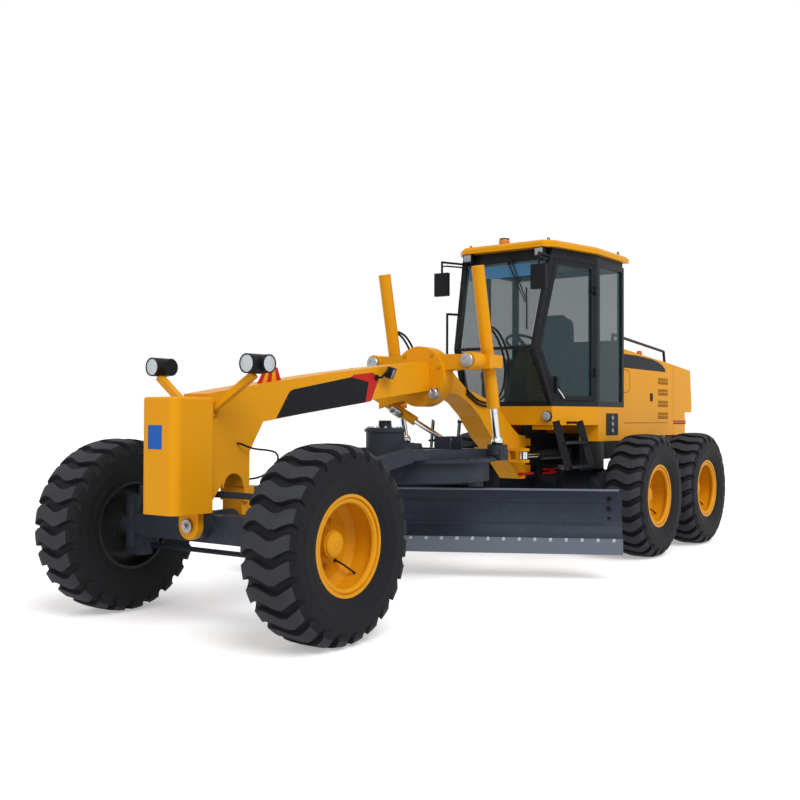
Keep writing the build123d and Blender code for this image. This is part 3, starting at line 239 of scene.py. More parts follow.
def gridFaces(rows, cols, closeRows=False, closeCols=False):
    # quads of a grid of points numbered row by row; a closed way joins its last line to its first
    r = np.arange(rows if closeRows else rows - 1)
    c = np.arange(cols if closeCols else cols - 1)
    a, b = np.meshgrid(r, c, indexing="ij")
    a2, b2 = (a + 1) % rows, (b + 1) % cols
    return np.stack([a * cols + b, a2 * cols + b, a2 * cols + b2, a * cols + b2], -1).reshape(-1, 4)


def spin(axis):
    # two directions square to the axis and to each other
    axis = Vector(axis).normalized()
    side = axis.orthogonal().normalized()
    return np.array(axis), np.array(side), np.array(axis.cross(side))


def turned(profile, centre, axis, n):
    # (radius, height) points turned about an axis through the centre, one row for each
    along, side, other = spin(axis)
    turn = np.arange(n) * 2 * math.pi / n
    circle = np.outer(np.cos(turn), side) + np.outer(np.sin(turn), other)
    return np.stack([np.array(centre) + h * along + r * circle for r, h in profile]).reshape(-1, 3)


def capped(rows, n):
    # faces of rows of n points, with both ends closed
    last = (rows - 1) * n
    ends = [list(range(n))[::-1], list(range(last, last + n))]
    return gridFaces(rows, n, closeCols=True).tolist() + ends


def lathe(profile, centre, axis, n=28):
    return turned(profile, centre, axis, n), capped(len(profile), n)


def ring(section, centre, axis, n=48):
    # a closed section turned the same way
    faces = gridFaces(len(section), n, closeRows=True, closeCols=True)
    return turned(section, centre, axis, n), faces.tolist()


def tube(path, radius, n=10):
    # a ring carried along the path; at each point it stands square to the mean of the two runs
    path = np.asarray(path, float)
    runs = np.gradient(path, axis=0)
    rings, side = [], None
    for point, run in zip(path, runs):
        run = run / np.linalg.norm(run)
        side = spin(run)[1] if side is None else side - run * side.dot(run)
        side = side / np.linalg.norm(side)
        turn = np.arange(n) * 2 * math.pi / n
        circle = np.outer(np.cos(turn), side) + np.outer(np.sin(turn), np.cross(run, side))
        rings.append(point + radius * circle)
    return np.concatenate(rings), capped(len(path), n)


def plate(outline, normal, thick, sink=0.0006):
    # a flat sheet of that outline, let into what carries it by the sink
    outline, normal = np.asarray(outline, float), np.array(Vector(normal).normalized())
    n = len(outline)
    points = np.vstack([outline - normal * sink, outline + normal * thick])
    sides = [[i, (i + 1) % n, n + (i + 1) % n, n + i] for i in range(n)]
    return points, sides + [list(range(n))[::-1], list(range(n, 2 * n))]


def block(centre, size, cut, turn=None):
    # a box with its edges cut off, turned about its centre
    work = bmesh.new()
    bmesh.ops.create_cube(work, size=1.0)
    bmesh.ops.scale(work, vec=size, verts=work.verts)
    bmesh.ops.bevel(work, geom=work.edges[:], offset=cut, segments=2, affect="EDGES", profile=0.6)
    matrix = Matrix.Translation(centre) @ (turn or Matrix.Identity(4))
    work.transform(matrix)
    work.verts.index_update()
    shape = ([v.co[:] for v in work.verts], [[v.index for v in f.verts] for f in work.faces])
    work.free()
    return shape


def bolt(place, axis, size):
    # washer, six-sided head and its cut crown
    washer = lathe([(1.7 * size, -0.1 * size), (1.7 * size, 0.2 * size), (1.6 * size, 0.3 * size)],
                   place, axis, 16)
    head = lathe([(size, 0.2 * size), (size, 1.0 * size), (0.8 * size, 1.25 * size)], place, axis, 6)
    return joined([washer, head])


def mirror(shape):
    points = np.array(shape[0], float) * (-1, 1, 1)
    return points, [list(f)[::-1] for f in shape[1]]


def onSide(side, place):
    # a place on the machine's left, or its image on the right
    return (side * place[0], *place[1:])


def joined(shapes):
    points, faces, count = [], [], 0
    for p, f in shapes:
        p = np.asarray(p, float)
        points.append(p)
        faces += [[i + count for i in face] for face in f]
        count += len(p)
    return np.concatenate(points), faces


# degrees between two faces above which their edge stays sharp
sharpAngle = 35.0
plateSharp = 20.0


def makePiece(name, shape, body, finish, sharp=sharpAngle):
    points, faces = shape
    mesh = bpy.data.meshes.new(name)
    mesh.from_pydata(np.asarray(points, float).reshape(-1, 3).tolist(), [], [list(f) for f in faces])
    obj = addObject(name, mesh)
    mesh.materials.append(finishes[finish])
    mesh.polygons.foreach_set("use_smooth", np.ones(len(mesh.polygons), bool))
    mesh.set_sharp_from_angle(angle=math.radians(sharp))
    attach(obj, body)
    return obj


# tyres: a section carried round the axle, whose points go from groove floor to lug top

tyreLook = {
    "lugs": 24,
    "zig": 0.2,
    "zigHalf": 0.205,
    "zigBend": 0.42,
    "grooveEnd": 0.30,
    "lugStart": 0.36,
    "lugEnd": 0.95,
    "wallTop": 0.56,
    "wallFade": 0.05,
    "rows": 6,
    "lighterRows": (3, 4),
    "lighterReach": 4.6,
    "sharp": 32,
}
# half the section as (x, r) in metres, from mid tread to the bead: lug top, then groove floor
lugTop = np.array([(0.0, 0.675), (0.06, 0.6745), (0.11, 0.671), (0.155, 0.661), (0.185, 0.644),
                   (0.203, 0.619), (0.213, 0.592), (0.2185, 0.575), (0.2205, 0.560), (0.222, 0.525),
                   (0.220, 0.490), (0.2215, 0.485), (0.2205, 0.478), (0.213, 0.440), (0.203, 0.405),
                   (0.204, 0.400), (0.2, 0.394), (0.192, 0.370), (0.188, 0.352), (0.182, 0.343)])
groove = lugTop.copy()
groove[:9] = [(0.0, 0.645), (0.06, 0.643), (0.11, 0.637), (0.15, 0.626), (0.175, 0.610), (0.191, 0.592),
              (0.203, 0.578), (0.213, 0.568), (0.2205, 0.560)]


def tyreMesh(centre, side):
    # angle = (pitch number + place in the pitch + zigzag across) times the pitch
    # radius = groove floor, or lug top where the place lies in the lug
    top = np.vstack([lugTop[::-1] * (-1, 1), lugTop[1:]])
    floor = np.vstack([groove[::-1] * (-1, 1), groove[1:]])
    across = np.clip(top[:, 0] / tyreLook["zigHalf"], -1, 1)
    bend = tyreLook["zigBend"]
    step = np.interp(across, [-1, -bend, bend, 1], [1, -1, 1, -1]) * tyreLook["zig"]
    place = np.array([0.0, tyreLook["grooveEnd"] / 2, tyreLook["grooveEnd"], tyreLook["lugStart"],
                      (tyreLook["lugStart"] + tyreLook["lugEnd"]) / 2, tyreLook["lugEnd"]])
    rise = np.array([0, 0, 0, 1, 1, 1])
    turn = (np.arange(tyreLook["lugs"])[:, None] + place[None, :]).ravel()
    height = np.tile(rise, tyreLook["lugs"])[:, None, None]
    section = floor[None] + height * (top - floor)[None]
    wall = np.clip((top[:, 1] - tyreLook["wallTop"]) / tyreLook["wallFade"], 0, 1)
    angle = (turn[:, None] + step[None, :] * wall[None, :]) * (2 * math.pi / tyreLook["lugs"]) * side
    x, r = section[..., 0], section[..., 1]
    y, z = r * np.cos(angle), r * np.sin(angle)
    points = np.stack([centre[0] + side * x, centre[1] + y, centre[2] + z], -1)
    faces = gridFaces(points.shape[0], points.shape[1], closeRows=True, closeCols=True)
    return points.reshape(-1, 3), faces, points.shape[1]


def tyreCentre(place):
    low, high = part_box("tyre_" + place)
    return np.array([(low[i] + high[i]) / 2 for i in range(3)])


for place in wheelPlaces:
    points, faces, cols = tyreMesh(tyreCentre(place), 1 if "left" in place else -1)
    tyre = makePiece("tread_" + place, (points, faces), "wheel_" + place, "tyre", tyreLook["sharp"])
    tyre.data.materials.append(finishes["treadTop"])
    # faces between two lug rows, on the tread, take a lighter rubber colour than the grooves and the rest
    row, col = faces[:, 0] // cols % tyreLook["rows"], faces[:, 0] % cols
    lighterTop = np.isin(row, tyreLook["lighterRows"]) & (np.abs(col - (cols - 1) / 2) < tyreLook["lighterReach"])
    tyre.data.polygons.foreach_set("material_index", lighterTop.astype(np.int32))
    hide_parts("tyre_" + place)
print("tyres made")


# wheels: the lip of the lock ring, nuts, hub dome and valve

wheelLook = {
    "lip": [(0.322, 0.128), (0.319, 0.170), (0.304, 0.178), (0.288, 0.172), (0.281, 0.156), (0.285, 0.140)],
    "nuts": 8,
    "nutCircle": 0.165,
    "nutStart": 0.3,
    "nutSize": 0.015,
    "face": -0.062,
    "dome": [(0.088, 0.053), (0.086, 0.060), (0.074, 0.068), (0.05, 0.074), (0.02, 0.077)],
    "valve": [(0.19, -0.058), (0.2, -0.03), (0.235, 0.0), (0.285, 0.03), (0.318, 0.05)],
    "valveWay": (0.0, 0.72, -0.69),
    "valveCap": [(0.011, -0.01), (0.011, 0.012), (0.007, 0.016)],
}
for place in wheelPlaces:
    centre = tyreCentre(place)
    out = np.array((1.0 if "left" in place else -1.0, 0.0, 0.0))
    fittings = [ring(wheelLook["lip"], centre, out), lathe(wheelLook["dome"], centre, out)]
    for i in range(wheelLook["nuts"]):
        turn = 2 * math.pi * (i + wheelLook["nutStart"]) / wheelLook["nuts"]
        away = np.array((0.0, math.cos(turn), math.sin(turn))) * wheelLook["nutCircle"]
        fittings.append(bolt(centre + away + out * wheelLook["face"], out, wheelLook["nutSize"]))
    makePiece("wheel_fittings_" + place, joined(fittings), "wheel_" + place, "rim")
    way = np.array(wheelLook["valveWay"])
    stem = tube([centre + way * r + out * x for r, x in wheelLook["valve"]], 0.007, 8)
    footReach, footOut = wheelLook["valve"][0]
    cap = lathe(wheelLook["valveCap"], centre + way * footReach + out * footOut, way * -0.3 + out, 10)
    makePiece("valve_" + place, joined([stem, cap]), "wheel_" + place, "plastic")
print("wheel fittings made")


# lamps on the front body: lenses and reflectors in the twin heads, square work lamps on the beam

headLook = {
    "x": 0.49, "y": -3.9, "z": 1.897, "reach": 0.088, "back": 0.03, "ahead": 0.061, "aside": 0.057,
    "bowl": [(1.0, 0.0005), (1.0, 0.003), (0.78, 0.0045), (0.55, 0.003), (0.34, 0.005), (0.12, 0.006)],
    "crown": [(1.0, 0.0075), (0.97, 0.0105), (0.72, 0.0135), (0.4, 0.0155), (0.1, 0.016)],
}
bowls, headLenses = [], []
for side in (-1, 1):
    x, y, z = side * headLook["x"], headLook["y"], headLook["z"]
    forward = ((x, y - headLook["reach"], z), (0, -1, 0), headLook["ahead"])
    outward = ((x + side * headLook["reach"], y + headLook["back"], z), (side, 0, 0), headLook["aside"])
    for centre, axis, radius in (forward, outward):
        bowls.append(lathe([(r * radius, h) for r, h in headLook["bowl"]], centre, axis))
        headLenses.append(lathe([(r * radius, h) for r, h in headLook["crown"]], centre, axis))
makePiece("headlamp_reflectors", joined(bowls), "front", "chrome")
makePiece("headlamp_lenses", joined(headLenses), "front", "lens")

workLampLook = {
    "at": (0.2, -1.915, 1.915), "face": (0.88, 0.28, -0.38), "foot": (0.126, -2.03, 1.872),
    "size": (0.10, 0.055, 0.10), "fins": 5, "finStep": 0.018,
}


def workLamp(side):
    # square head turned to the blade, with cooling fins behind and a stalk to the beam's side
    at = Vector(workLampLook["at"])
    face = Vector(workLampLook["face"]).normalized()
    turn = face.to_track_quat("-Y", "Z").to_matrix().to_4x4()
    sx, sy, sz = workLampLook["size"]
    head = [block(at, (sx, sy, sz), 0.01, turn)]
    for k in range(workLampLook["fins"]):
        rise = (k - (workLampLook["fins"] - 1) / 2) * workLampLook["finStep"]
        offset = turn @ Vector((0.0, sy * 0.6, rise))
        head.append(block(at + offset, (sx * 0.8, 0.024, 0.006), 0.0015, turn))
    foot = Vector(workLampLook["foot"])
    head.append(tube([foot, foot + Vector((0.05, 0.01, 0.0)), at - face * 0.03], 0.011))
    head.append(lathe([(0.026, -0.002), (0.026, 0.01), (0.02, 0.014)], foot, (1, 0, 0), 18))
    glass = block(at + face * (sy / 2), (sx * 0.8, 0.008, sz * 0.8), 0.003, turn)
    shapes = (joined(head), glass)
    return shapes if side > 0 else tuple(mirror(s) for s in shapes)


lampHeads, lampGlasses = zip(*(workLamp(side) for side in (-1, 1)))
makePiece("work_lamp_heads", joined(lampHeads), "front", "plastic")
makePiece("work_lamp_lenses", joined(lampGlasses), "front", "zinc")
print("front lamps made")


# beam: bare panels with their chevron, bolts, flag and saddle fittings

beamLook = {
    "half": 0.125,
    "panel": [(-3.30, 1.514), (-3.16, 1.708), (-3.14, 1.728), (-3.10, 1.743), (-2.379, 1.863),
              (-2.132, 1.829), (-2.184, 1.652)],
    "chevron": [(-2.379, 1.864), (-2.344, 1.885), (-2.078, 1.915), (-2.01, 1.872), (-1.997, 1.852),
                (-2.103, 1.665), (-2.182, 1.653), (-2.128, 1.829)],
}


def sidePlates(outline, half, thick=0.0012):
    left = plate([(half, y, z) for y, z in outline], (1, 0, 0), thick)
    return joined([left, mirror(left)])


makePiece("beam_panels", sidePlates(beamLook["panel"], beamLook["half"]), "front", "vinyl", plateSharp)
chevrons = sidePlates(beamLook["chevron"], beamLook["half"], 0.0014)
makePiece("beam_chevrons", chevrons, "front", "red", plateSharp)

boltLook = {
    "bracket": ((0.14, -3.945, 1.62), (0.14, -3.945, 1.55), (0.14, -3.985, 1.55), (0.14, -3.985, 1.62)),
    "saddle": (-1.205, 1.912), "saddleCircle": 0.25, "saddleTurns": (20, 52, 128, 160, 205, 335),
}
frontBolts = [bolt(place, (1, 0, 0), 0.009) for place in boltLook["bracket"]]
frontBolts += [mirror(b) for b in frontBolts]
for degrees in boltLook["saddleTurns"]:
    a = math.radians(degrees)
    x, z = boltLook["saddleCircle"] * math.cos(a), boltLook["saddleCircle"] * math.sin(a)
    frontBolts.append(bolt((x, boltLook["saddle"][0], boltLook["saddle"][1] + z), (0, -1, 0), 0.012))
makePiece("front_bolts", joined(frontBolts), "front", "yellow")

pinLook = {
    "at": (0.54, -1.195, 2.05),
    "cap": [(0.066, -0.003), (0.066, 0.02), (0.06, 0.028), (0.03, 0.031), (0.028, 0.026), (0.008, 0.026)],
    "bolts": 6, "boltCircle": 0.048, "boltFace": -1.222, "boltStart": 15,
    "plug": [(0.05, -0.004), (0.05, 0.05), (0.043, 0.058), (0.02, 0.06)], "plugAt": (0.195, -1.205, 1.75),
    "pull": [(0.195, -1.255, 1.79), (0.20, -1.30, 1.775), (0.21, -1.31, 1.745), (0.2, -1.26, 1.72)],
}
pinX, pinY, pinZ = pinLook["at"]
caps = [lathe(pinLook["cap"], (side * pinX, pinY, pinZ), (0, -1, 0)) for side in (-1, 1)]
for side in (-1, 1):
    for k in range(pinLook["bolts"]):
        a = math.radians(360 / pinLook["bolts"] * k + pinLook["boltStart"])
        x, z = pinLook["boltCircle"] * math.cos(a), pinLook["boltCircle"] * math.sin(a)
        caps.append(bolt((side * pinX + x, pinLook["boltFace"], pinZ + z), (0, -1, 0), 0.005))
caps.append(lathe(pinLook["plug"], pinLook["plugAt"], (0, -1, 0)))
caps.append(tube(pinLook["pull"], 0.007))
makePiece("saddle_pin_ends", joined(caps), "front", "zinc")

# two black pipes that leave the saddle along the beam's side, and the valve block on the shift cylinder
pipeLook = {
    "x": 0.138, "apart": 0.036, "radius": 0.011,
    "route": [(-0.56, 1.80), (-0.508, 1.771), (-0.43, 1.733), (-0.356, 1.703), (-0.27, 1.685),
              (-0.18, 1.676)],
}
pipes = []
for k in range(2):
    route = [(pipeLook["x"], y, z - k * pipeLook["apart"]) for y, z in pipeLook["route"]]
    pipes.append(tube(route, pipeLook["radius"]))
makePiece("beam_pipes", joined(pipes), "front", "rubber")
valveLook = {
    "at": (-0.285, -1.163, 1.578), "size": (0.12, 0.05, 0.07), "lean": math.radians(27.6),
    "ports": (-0.035, 0.035),
    "port": [(0.02, -0.002), (0.02, 0.022), (0.015, 0.026), (0.012, 0.04), (0.009, 0.042)],
}
valveTurn = Matrix.Rotation(valveLook["lean"], 4, "Y")
valve = [block(valveLook["at"], valveLook["size"], 0.005, valveTurn)]
for along in valveLook["ports"]:
    place = Vector(valveLook["at"]) + valveTurn @ Vector((along, -valveLook["size"][1] / 2, 0.0))
    valve.append(lathe(valveLook["port"], place, (0, -1, 0), 18))
makePiece("shift_valve", joined(valve), "shift_cylinder", "zinc")

flagLook = {
    "x": 0.05, "y": -3.46, "z": 1.742, "long": 0.3, "high": 0.13, "stripes": 5,
    "footRise": 0.05, "headRise": 0.04, "headStart": 0.38, "headShare": 0.45,
}
stripes = {"red": [], "yellow": []}
for k in range(flagLook["stripes"]):
    # each stripe is a slice of a leaning sheet that stands on the beam's top
    foot, head = [], []
    for end in (k / flagLook["stripes"], (k + 1.0) / flagLook["stripes"]):
        lean = flagLook["headStart"] + flagLook["headShare"] * end
        foot.append((flagLook["y"] + flagLook["long"] * end, flagLook["z"] + flagLook["footRise"] * end))
        head.append((flagLook["y"] + flagLook["long"] * lean,
                     flagLook["z"] + flagLook["headRise"] + flagLook["high"]))
    outline = [(flagLook["x"], y, z) for y, z in (foot[0], foot[1], head[1], head[0])]
    stripes["red" if k % 2 == 0 else "yellow"].append(plate(outline, (1, 0, 0), 0.004))
for finish, sheets in stripes.items():
    makePiece("flag_" + finish, joined(sheets), "front", finish, plateSharp)

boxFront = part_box("front_box")[0][1]
blankLook = [(-0.09, 1.30), (0.052, 1.30), (0.052, 1.466), (-0.09, 1.466)]
blankPlate = plate([(x, boxFront, z) for x, z in blankLook], (0, -1, 0), 0.0015)
makePiece("front_blank_plate", blankPlate, "front", "blue", plateSharp)
print("beam fitted")


# blade: edge bolts, end bolts and a lighter metal strip along the top edge, a painted highlight

bladeLook = {
    "turn": math.radians(29.4), "centre": (0.0, -1.15), "face": 0.054,
    "bolts": 24, "first": 1.80, "step": 0.1465, "row": 0.383,
    "bolt": [(0.017, -0.002), (0.017, 0.002), (0.014, 0.0035), (0.013, 0.001), (0.004, 0.001)],
    "low": 0.25, "high": 0.86, "offset": 0.074, "sagitta": 0.095,
    "strip": (3.56, 0.012, 0.02), "endBolts": (0.76, 0.67, 0.575, 0.48), "endAlong": 1.764,
}


def bladePoint(along, back, z):
    c, s = math.cos(bladeLook["turn"]), math.sin(bladeLook["turn"])
    return (bladeLook["centre"][0] + along * c - back * s, bladeLook["centre"][1] + along * s + back * c, z)


bladeZero = Vector(bladePoint(0, 0, 0))
ahead = Vector(bladePoint(0, -1, 0)) - bladeZero
edgeBolts = []
for k in range(bladeLook["bolts"]):
    place = bladePoint(bladeLook["first"] - k * bladeLook["step"], bladeLook["face"], bladeLook["row"])
    edgeBolts.append(lathe(bladeLook["bolt"], place, ahead, 18))
makePiece("edge_bolts", joined(edgeBolts), "blade", "zinc")

# the face is an arc whose radius follows from its half height h and sagitta s: (h * h + s * s) / (2 * s)
halfHeight = (bladeLook["high"] - bladeLook["low"]) / 2
middleHeight = (bladeLook["high"] + bladeLook["low"]) / 2
faceRadius = (halfHeight ** 2 + bladeLook["sagitta"] ** 2) / (2 * bladeLook["sagitta"])
faceCentre = bladeLook["offset"] + bladeLook["sagitta"] - faceRadius
edgeMiddle = sum((Vector(p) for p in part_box("cutting_edge")), Vector()) / 2
bladeMiddle = (edgeMiddle - bladeZero).dot(Vector(bladePoint(1, 0, 0)) - bladeZero)
endBolts = []
for z in bladeLook["endBolts"]:
    for along in (bladeLook["endAlong"], bladeMiddle * 2 - bladeLook["endAlong"]):
        back = faceCentre + math.sqrt(faceRadius ** 2 - (z - middleHeight) ** 2)
        inward = Vector(bladePoint(along, faceCentre, middleHeight)) - Vector(bladePoint(along, back, z))
        endBolts.append(bolt(bladePoint(along, back, z), inward, 0.013))
makePiece("blade_end_bolts", joined(endBolts), "blade", "black")
# painted highlight: a lighter steel strip on the blade's top edge stands in for the light that edge catches
stripPlace = bladePoint(bladeMiddle, bladeLook["offset"] - 0.004, bladeLook["high"] - 0.009)
stripTurn = Matrix.Rotation(bladeLook["turn"], 4, "Z")
makePiece("blade_top_painted_highlight", block(stripPlace, bladeLook["strip"], 0.003, stripTurn), "blade", "edge")
print("blade fitted")


# circle and its drive: gear teeth, bolt rings and castle nut

circleLook = {
    "centre": (0.0, -1.15),
    "teeth": 72, "toothCircle": 0.541, "toothHeight": 1.03, "tooth": (0.03, 0.024, 0.16),
    "bolts": 32, "boltCircle": 0.665, "boltHeight": 1.15,
}
driveLook = {
    "at": (-0.08, -1.62), "top": 1.43, "bolts": 14, "boltCircle": 0.152,
    "crowns": 8, "crownCircle": 0.045, "crownHeight": 1.482, "crown": (0.024, 0.02, 0.03),
    "collar": [(0.19, 1.395), (0.19, 1.415), (0.182, 1.42), (0.17, 1.42)],
}


def blockRing(centre, reach, z, count, size, cut):
    # blocks that face outwards on a circle
    shapes = []
    for k in range(count):
        turn = Matrix.Rotation(2 * math.pi * k / count, 4, "Z")
        place = Vector((*centre, z)) + turn @ Vector((reach, 0.0, 0.0))
        shapes.append(block(place, size, cut, turn))
    return shapes


def boltRing(centre, reach, z, count, start, size):
    # bolts that stand on a circle, the first one a share of their spacing round
    shapes = []
    for k in range(count):
        a = 2 * math.pi * (k + start) / count
        place = (centre[0] + reach * math.cos(a), centre[1] + reach * math.sin(a), z)
        shapes.append(bolt(place, (0, 0, 1), size))
    return shapes


gear = blockRing(circleLook["centre"], circleLook["toothCircle"], circleLook["toothHeight"],
                 circleLook["teeth"], circleLook["tooth"], 0.006)
makePiece("circle_teeth", joined(gear), "circle", "grey")
driveBolts = boltRing(driveLook["at"], driveLook["boltCircle"], driveLook["top"],
                      driveLook["bolts"], 0, 0.011)
makePiece("drive_bolts", joined(driveBolts), "drawbar", "zinc")
crownNut = blockRing(driveLook["at"], driveLook["crownCircle"], driveLook["crownHeight"],
                     driveLook["crowns"], driveLook["crown"], 0.003)
crownNut.append(lathe(driveLook["collar"], (*driveLook["at"], 0.0), (0, 0, 1), 40))
makePiece("drive_crown", joined(crownNut), "drawbar", "grey")
plateBolts = boltRing(circleLook["centre"], circleLook["boltCircle"], circleLook["boltHeight"],
                      circleLook["bolts"], 0.5, 0.012)
makePiece("drawbar_bolts", joined(plateBolts), "drawbar", "grey")
print("circle fitted")


# cab: lamps, beacon, mirrors, wiper, sun band, door fittings

cabLook = {
    "side": ((0.55, 0.456), (0.72, 1.21)),
    "paneFoot": (0.226, 2.275),
    "paneLean": 0.241,
    "roofTop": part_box("cab_roof")[1][2],
    "beaconAt": (-0.13, 0.64, 0.0),
    "beacon": [(0.0595, 3.425), (0.060, 3.44), (0.060, 3.47), (0.054, 3.489), (0.035, 3.4985),
               (0.01, 3.4995)],
    "lampLens": (0.44, 0.3645, 3.2725), "lampFoot": (0.44, 0.40, 3.325),
    "eyes": ((0.48, 0.51), (0.7, 1.80)), "eyeReach": 0.022, "eyeWire": 0.006, "eyeRise": 0.014,
    "eyeFoot": [(0.018, -0.016), (0.018, -0.006), (0.014, -0.004)],
    "mirrorArm": [(0.52, 0.465, 3.19), (0.575, 0.16, 3.175), (0.59, 0.1, 3.165), (0.59, 0.09, 3.09)],
    "mirror": (0.59, 0.1165, 2.965), "mirrorSize": (0.15, 0.006, 0.23),
    "skirtLamp": (0.5, 0.42, 1.545),
    "skirtLens": [(0.05, -0.004), (0.05, 0.004), (0.044, 0.009), (0.02, 0.012)],
    "band": ((-0.43, 3.03), (0.43, 3.03), (0.45, 3.17), (-0.45, 3.17)),
    "cover": [(0.40, 1.905), (0.535, 1.91), (0.672, 1.725), (0.672, 1.70), (0.50, 1.70)],
    "grip": [(0.52, 1.835, 0.002), (0.525, 1.83, 0.022), (0.575, 1.785, 0.026), (0.625, 1.735, 0.022),
             (0.63, 1.73, 0.002)],
}


def onPane(x, z, off):
    # a point before the leaning windscreen, by a distance
    return (x, cabLook["paneFoot"][0] + (z - cabLook["paneFoot"][1]) * cabLook["paneLean"] - off, z)


def onDoor(y, z, off):
    # a point on the slanted side of the cab, moved outwards by a distance
    (x0, y0), (x1, y1) = cabLook["side"]
    out = Vector((y1 - y0, x0 - x1, 0)).normalized()
    return Vector((x0 + (y - y0) * (x1 - x0) / (y1 - y0), y, z)) + out * off


makePiece("beacon_dome", lathe(cabLook["beacon"], cabLook["beaconAt"], (0, 0, 1)), "rear", "amber")

eyeTurns = np.arange(8) * math.pi / 4
eyeLoop = [(cabLook["eyeReach"] + cabLook["eyeWire"] * math.cos(a), cabLook["eyeWire"] * math.sin(a))
           for a in eyeTurns]
roofFittings, roofLenses = [], []
for side in (-1, 1):
    roofLenses.append(block(onSide(side, cabLook["lampLens"]), (0.088, 0.008, 0.072), 0.003))
    roofFittings.append(block(onSide(side, cabLook["lampFoot"]), (0.03, 0.06, 0.02), 0.004))
    for eyeX, eyeY in cabLook["eyes"]:
        eye = Vector((side * eyeX, eyeY, cabLook["roofTop"] + cabLook["eyeRise"]))
        roofFittings.append(ring(eyeLoop, eye, (1, 0, 0), 20))
        roofFittings.append(lathe(cabLook["eyeFoot"], eye, (0, 0, 1), 14))
    roofFittings.append(tube([onSide(side, place) for place in cabLook["mirrorArm"]], 0.009))
makePiece("roof_lamp_lenses", joined(roofLenses), "rear", "lens")
makePiece("roof_fittings", joined(roofFittings), "rear", "black")
makePiece("skirt_lamp_lens", lathe(cabLook["skirtLens"], cabLook["skirtLamp"], (0, -1, 0)), "rear", "lens")

mirrorGlasses = [block(onSide(side, cabLook["mirror"]), cabLook["mirrorSize"], 0.0025) for side in (-1, 1)]
makePiece("mirror_glasses", joined(mirrorGlasses), "rear", "chrome")

wiper = [tube([onPane(0.03, 3.215, 0.03), onPane(0.17, 2.98, 0.034), onPane(0.315, 2.74, 0.03)], 0.006),
         tube([onPane(0.085, 3.21, 0.03), onPane(0.2, 2.99, 0.034), onPane(0.325, 2.76, 0.03)], 0.006),
         tube([onPane(0.30, 2.90, 0.022), onPane(0.33, 2.70, 0.020), onPane(0.365, 2.45, 0.022)], 0.008),
         block(onPane(0.057, 3.21, 0.028), (0.09, 0.05, 0.03), 0.006)]
makePiece("wiper", joined(wiper), "rear", "plastic")
band = [onPane(x, z, 0.012) for x, z in cabLook["band"]]
makePiece("sun_band", plate(band, (0, -1, cabLook["paneLean"]), 0.001, 0.0004), "rear", "band", plateSharp)

for name, side in (("left", 1), ("right", -1)):
    cover = plate([onDoor(y, z, 0.0) for y, z in cabLook["cover"]], onDoor(1, 0, 1) - onDoor(1, 0, 0), 0.003)
    grip = tube([onDoor(*point) for point in cabLook["grip"]], 0.008)
    if side < 0:
        cover, grip = mirror(cover), mirror(grip)
    makePiece("door_cover_" + name, cover, "door_" + name, "plastic", plateSharp)
    makePiece("door_grip_" + name, grip, "door_" + name, "chrome")
print("cab fitted")


# seat: crowned cushions on a bellows, in place of the plain solid

seatLook = {
    "cushion": ((0.0, 1.345, 2.04), (0.50, 0.52, 0.13)),
    "back": ((0.0, 1.585, 2.40), (0.47, 0.115, 0.58)),
    "rest": ((0.0, 1.59, 2.66), (0.27, 0.09, 0.13)),
}
padLook = {"round": 64, "high": 33, "power": 0.35, "seamWidth": 0.035, "seamDepth": 0.07, "sharp": 60}


def squared(value):
    # the power keeps the sign, and a power below one fills out the corners
    return np.sign(value) * np.abs(value) ** padLook["power"]


def cushion(centre, size, crown, seams):
    # a rounded block: the points of a unit ball pushed out by that power,
    # swollen in the middle and drawn in at the seams
    u, v = np.meshgrid(np.linspace(0, 2 * math.pi, padLook["round"], endpoint=False),
                       np.linspace(-math.pi / 2, math.pi / 2, padLook["high"]), indexing="ij")
    x = squared(np.cos(v)) * squared(np.cos(u))
    y = squared(np.cos(v)) * squared(np.sin(u))
    z = squared(np.sin(v))
    swell = 1 + crown * (1 - x ** 2) * (1 - y ** 2)
    dent = sum(np.exp(-((x - s) / padLook["seamWidth"]) ** 2) for s in seams)
    z = z * swell * (1 - padLook["seamDepth"] * dent)
    points = np.stack([x * size[0] / 2, y * size[1] / 2, z * size[2] / 2], -1) + np.array(centre)
    return points.reshape(-1, 3), gridFaces(padLook["round"], padLook["high"], closeRows=True).tolist()


for name, (centre, size) in seatLook.items():
    if name == "cushion":
        shape = cushion(centre, size, 0.12, (-0.62, 0.62))
    else:
        # a back stands up: the crown that looks up is turned to look ahead
        points, faces = cushion((0, 0, 0), (size[0], size[2], size[1]), 0.15, (-0.6, 0.6))
        points = np.stack([points[:, 0], -points[:, 2], points[:, 1]], -1) + np.array(centre)
        shape = (points, faces)
    pad = makePiece("seat_" + name, shape, "rear", "cloth", padLook["sharp"])
bellowsLook = {"at": (0.0, 1.345, 0.0), "foot": (0.235, 1.652), "head": (0.23, 1.972), "folds": 6,
               "step": 0.05, "ridge": (0.245, 1.67), "valley": (0.205, 1.695)}
bellows = [bellowsLook["foot"]]
for k in range(bellowsLook["folds"]):
    for radius, height in (bellowsLook["ridge"], bellowsLook["valley"]):
        bellows.append((radius, height + k * bellowsLook["step"]))
bellows.append(bellowsLook["head"])
makePiece("seat_bellows", lathe(bellows, bellowsLook["at"], (0, 0, 1), 36), "rear", "rubber")
armLook = {
    "x": 0.275, "pad": (1.42, 2.24), "padSize": (0.055, 0.33, 0.045),
    "stay": [(0.275, 1.56, 2.22), (0.27, 1.585, 2.15), (0.24, 1.59, 2.10)],
    "levers": 3, "leverY": 1.29, "leverStep": 0.045, "leverZ": 2.262,
    "knob": [(0.008, 0.06), (0.017, 0.075), (0.018, 0.09), (0.01, 0.102)],
}
arms = []
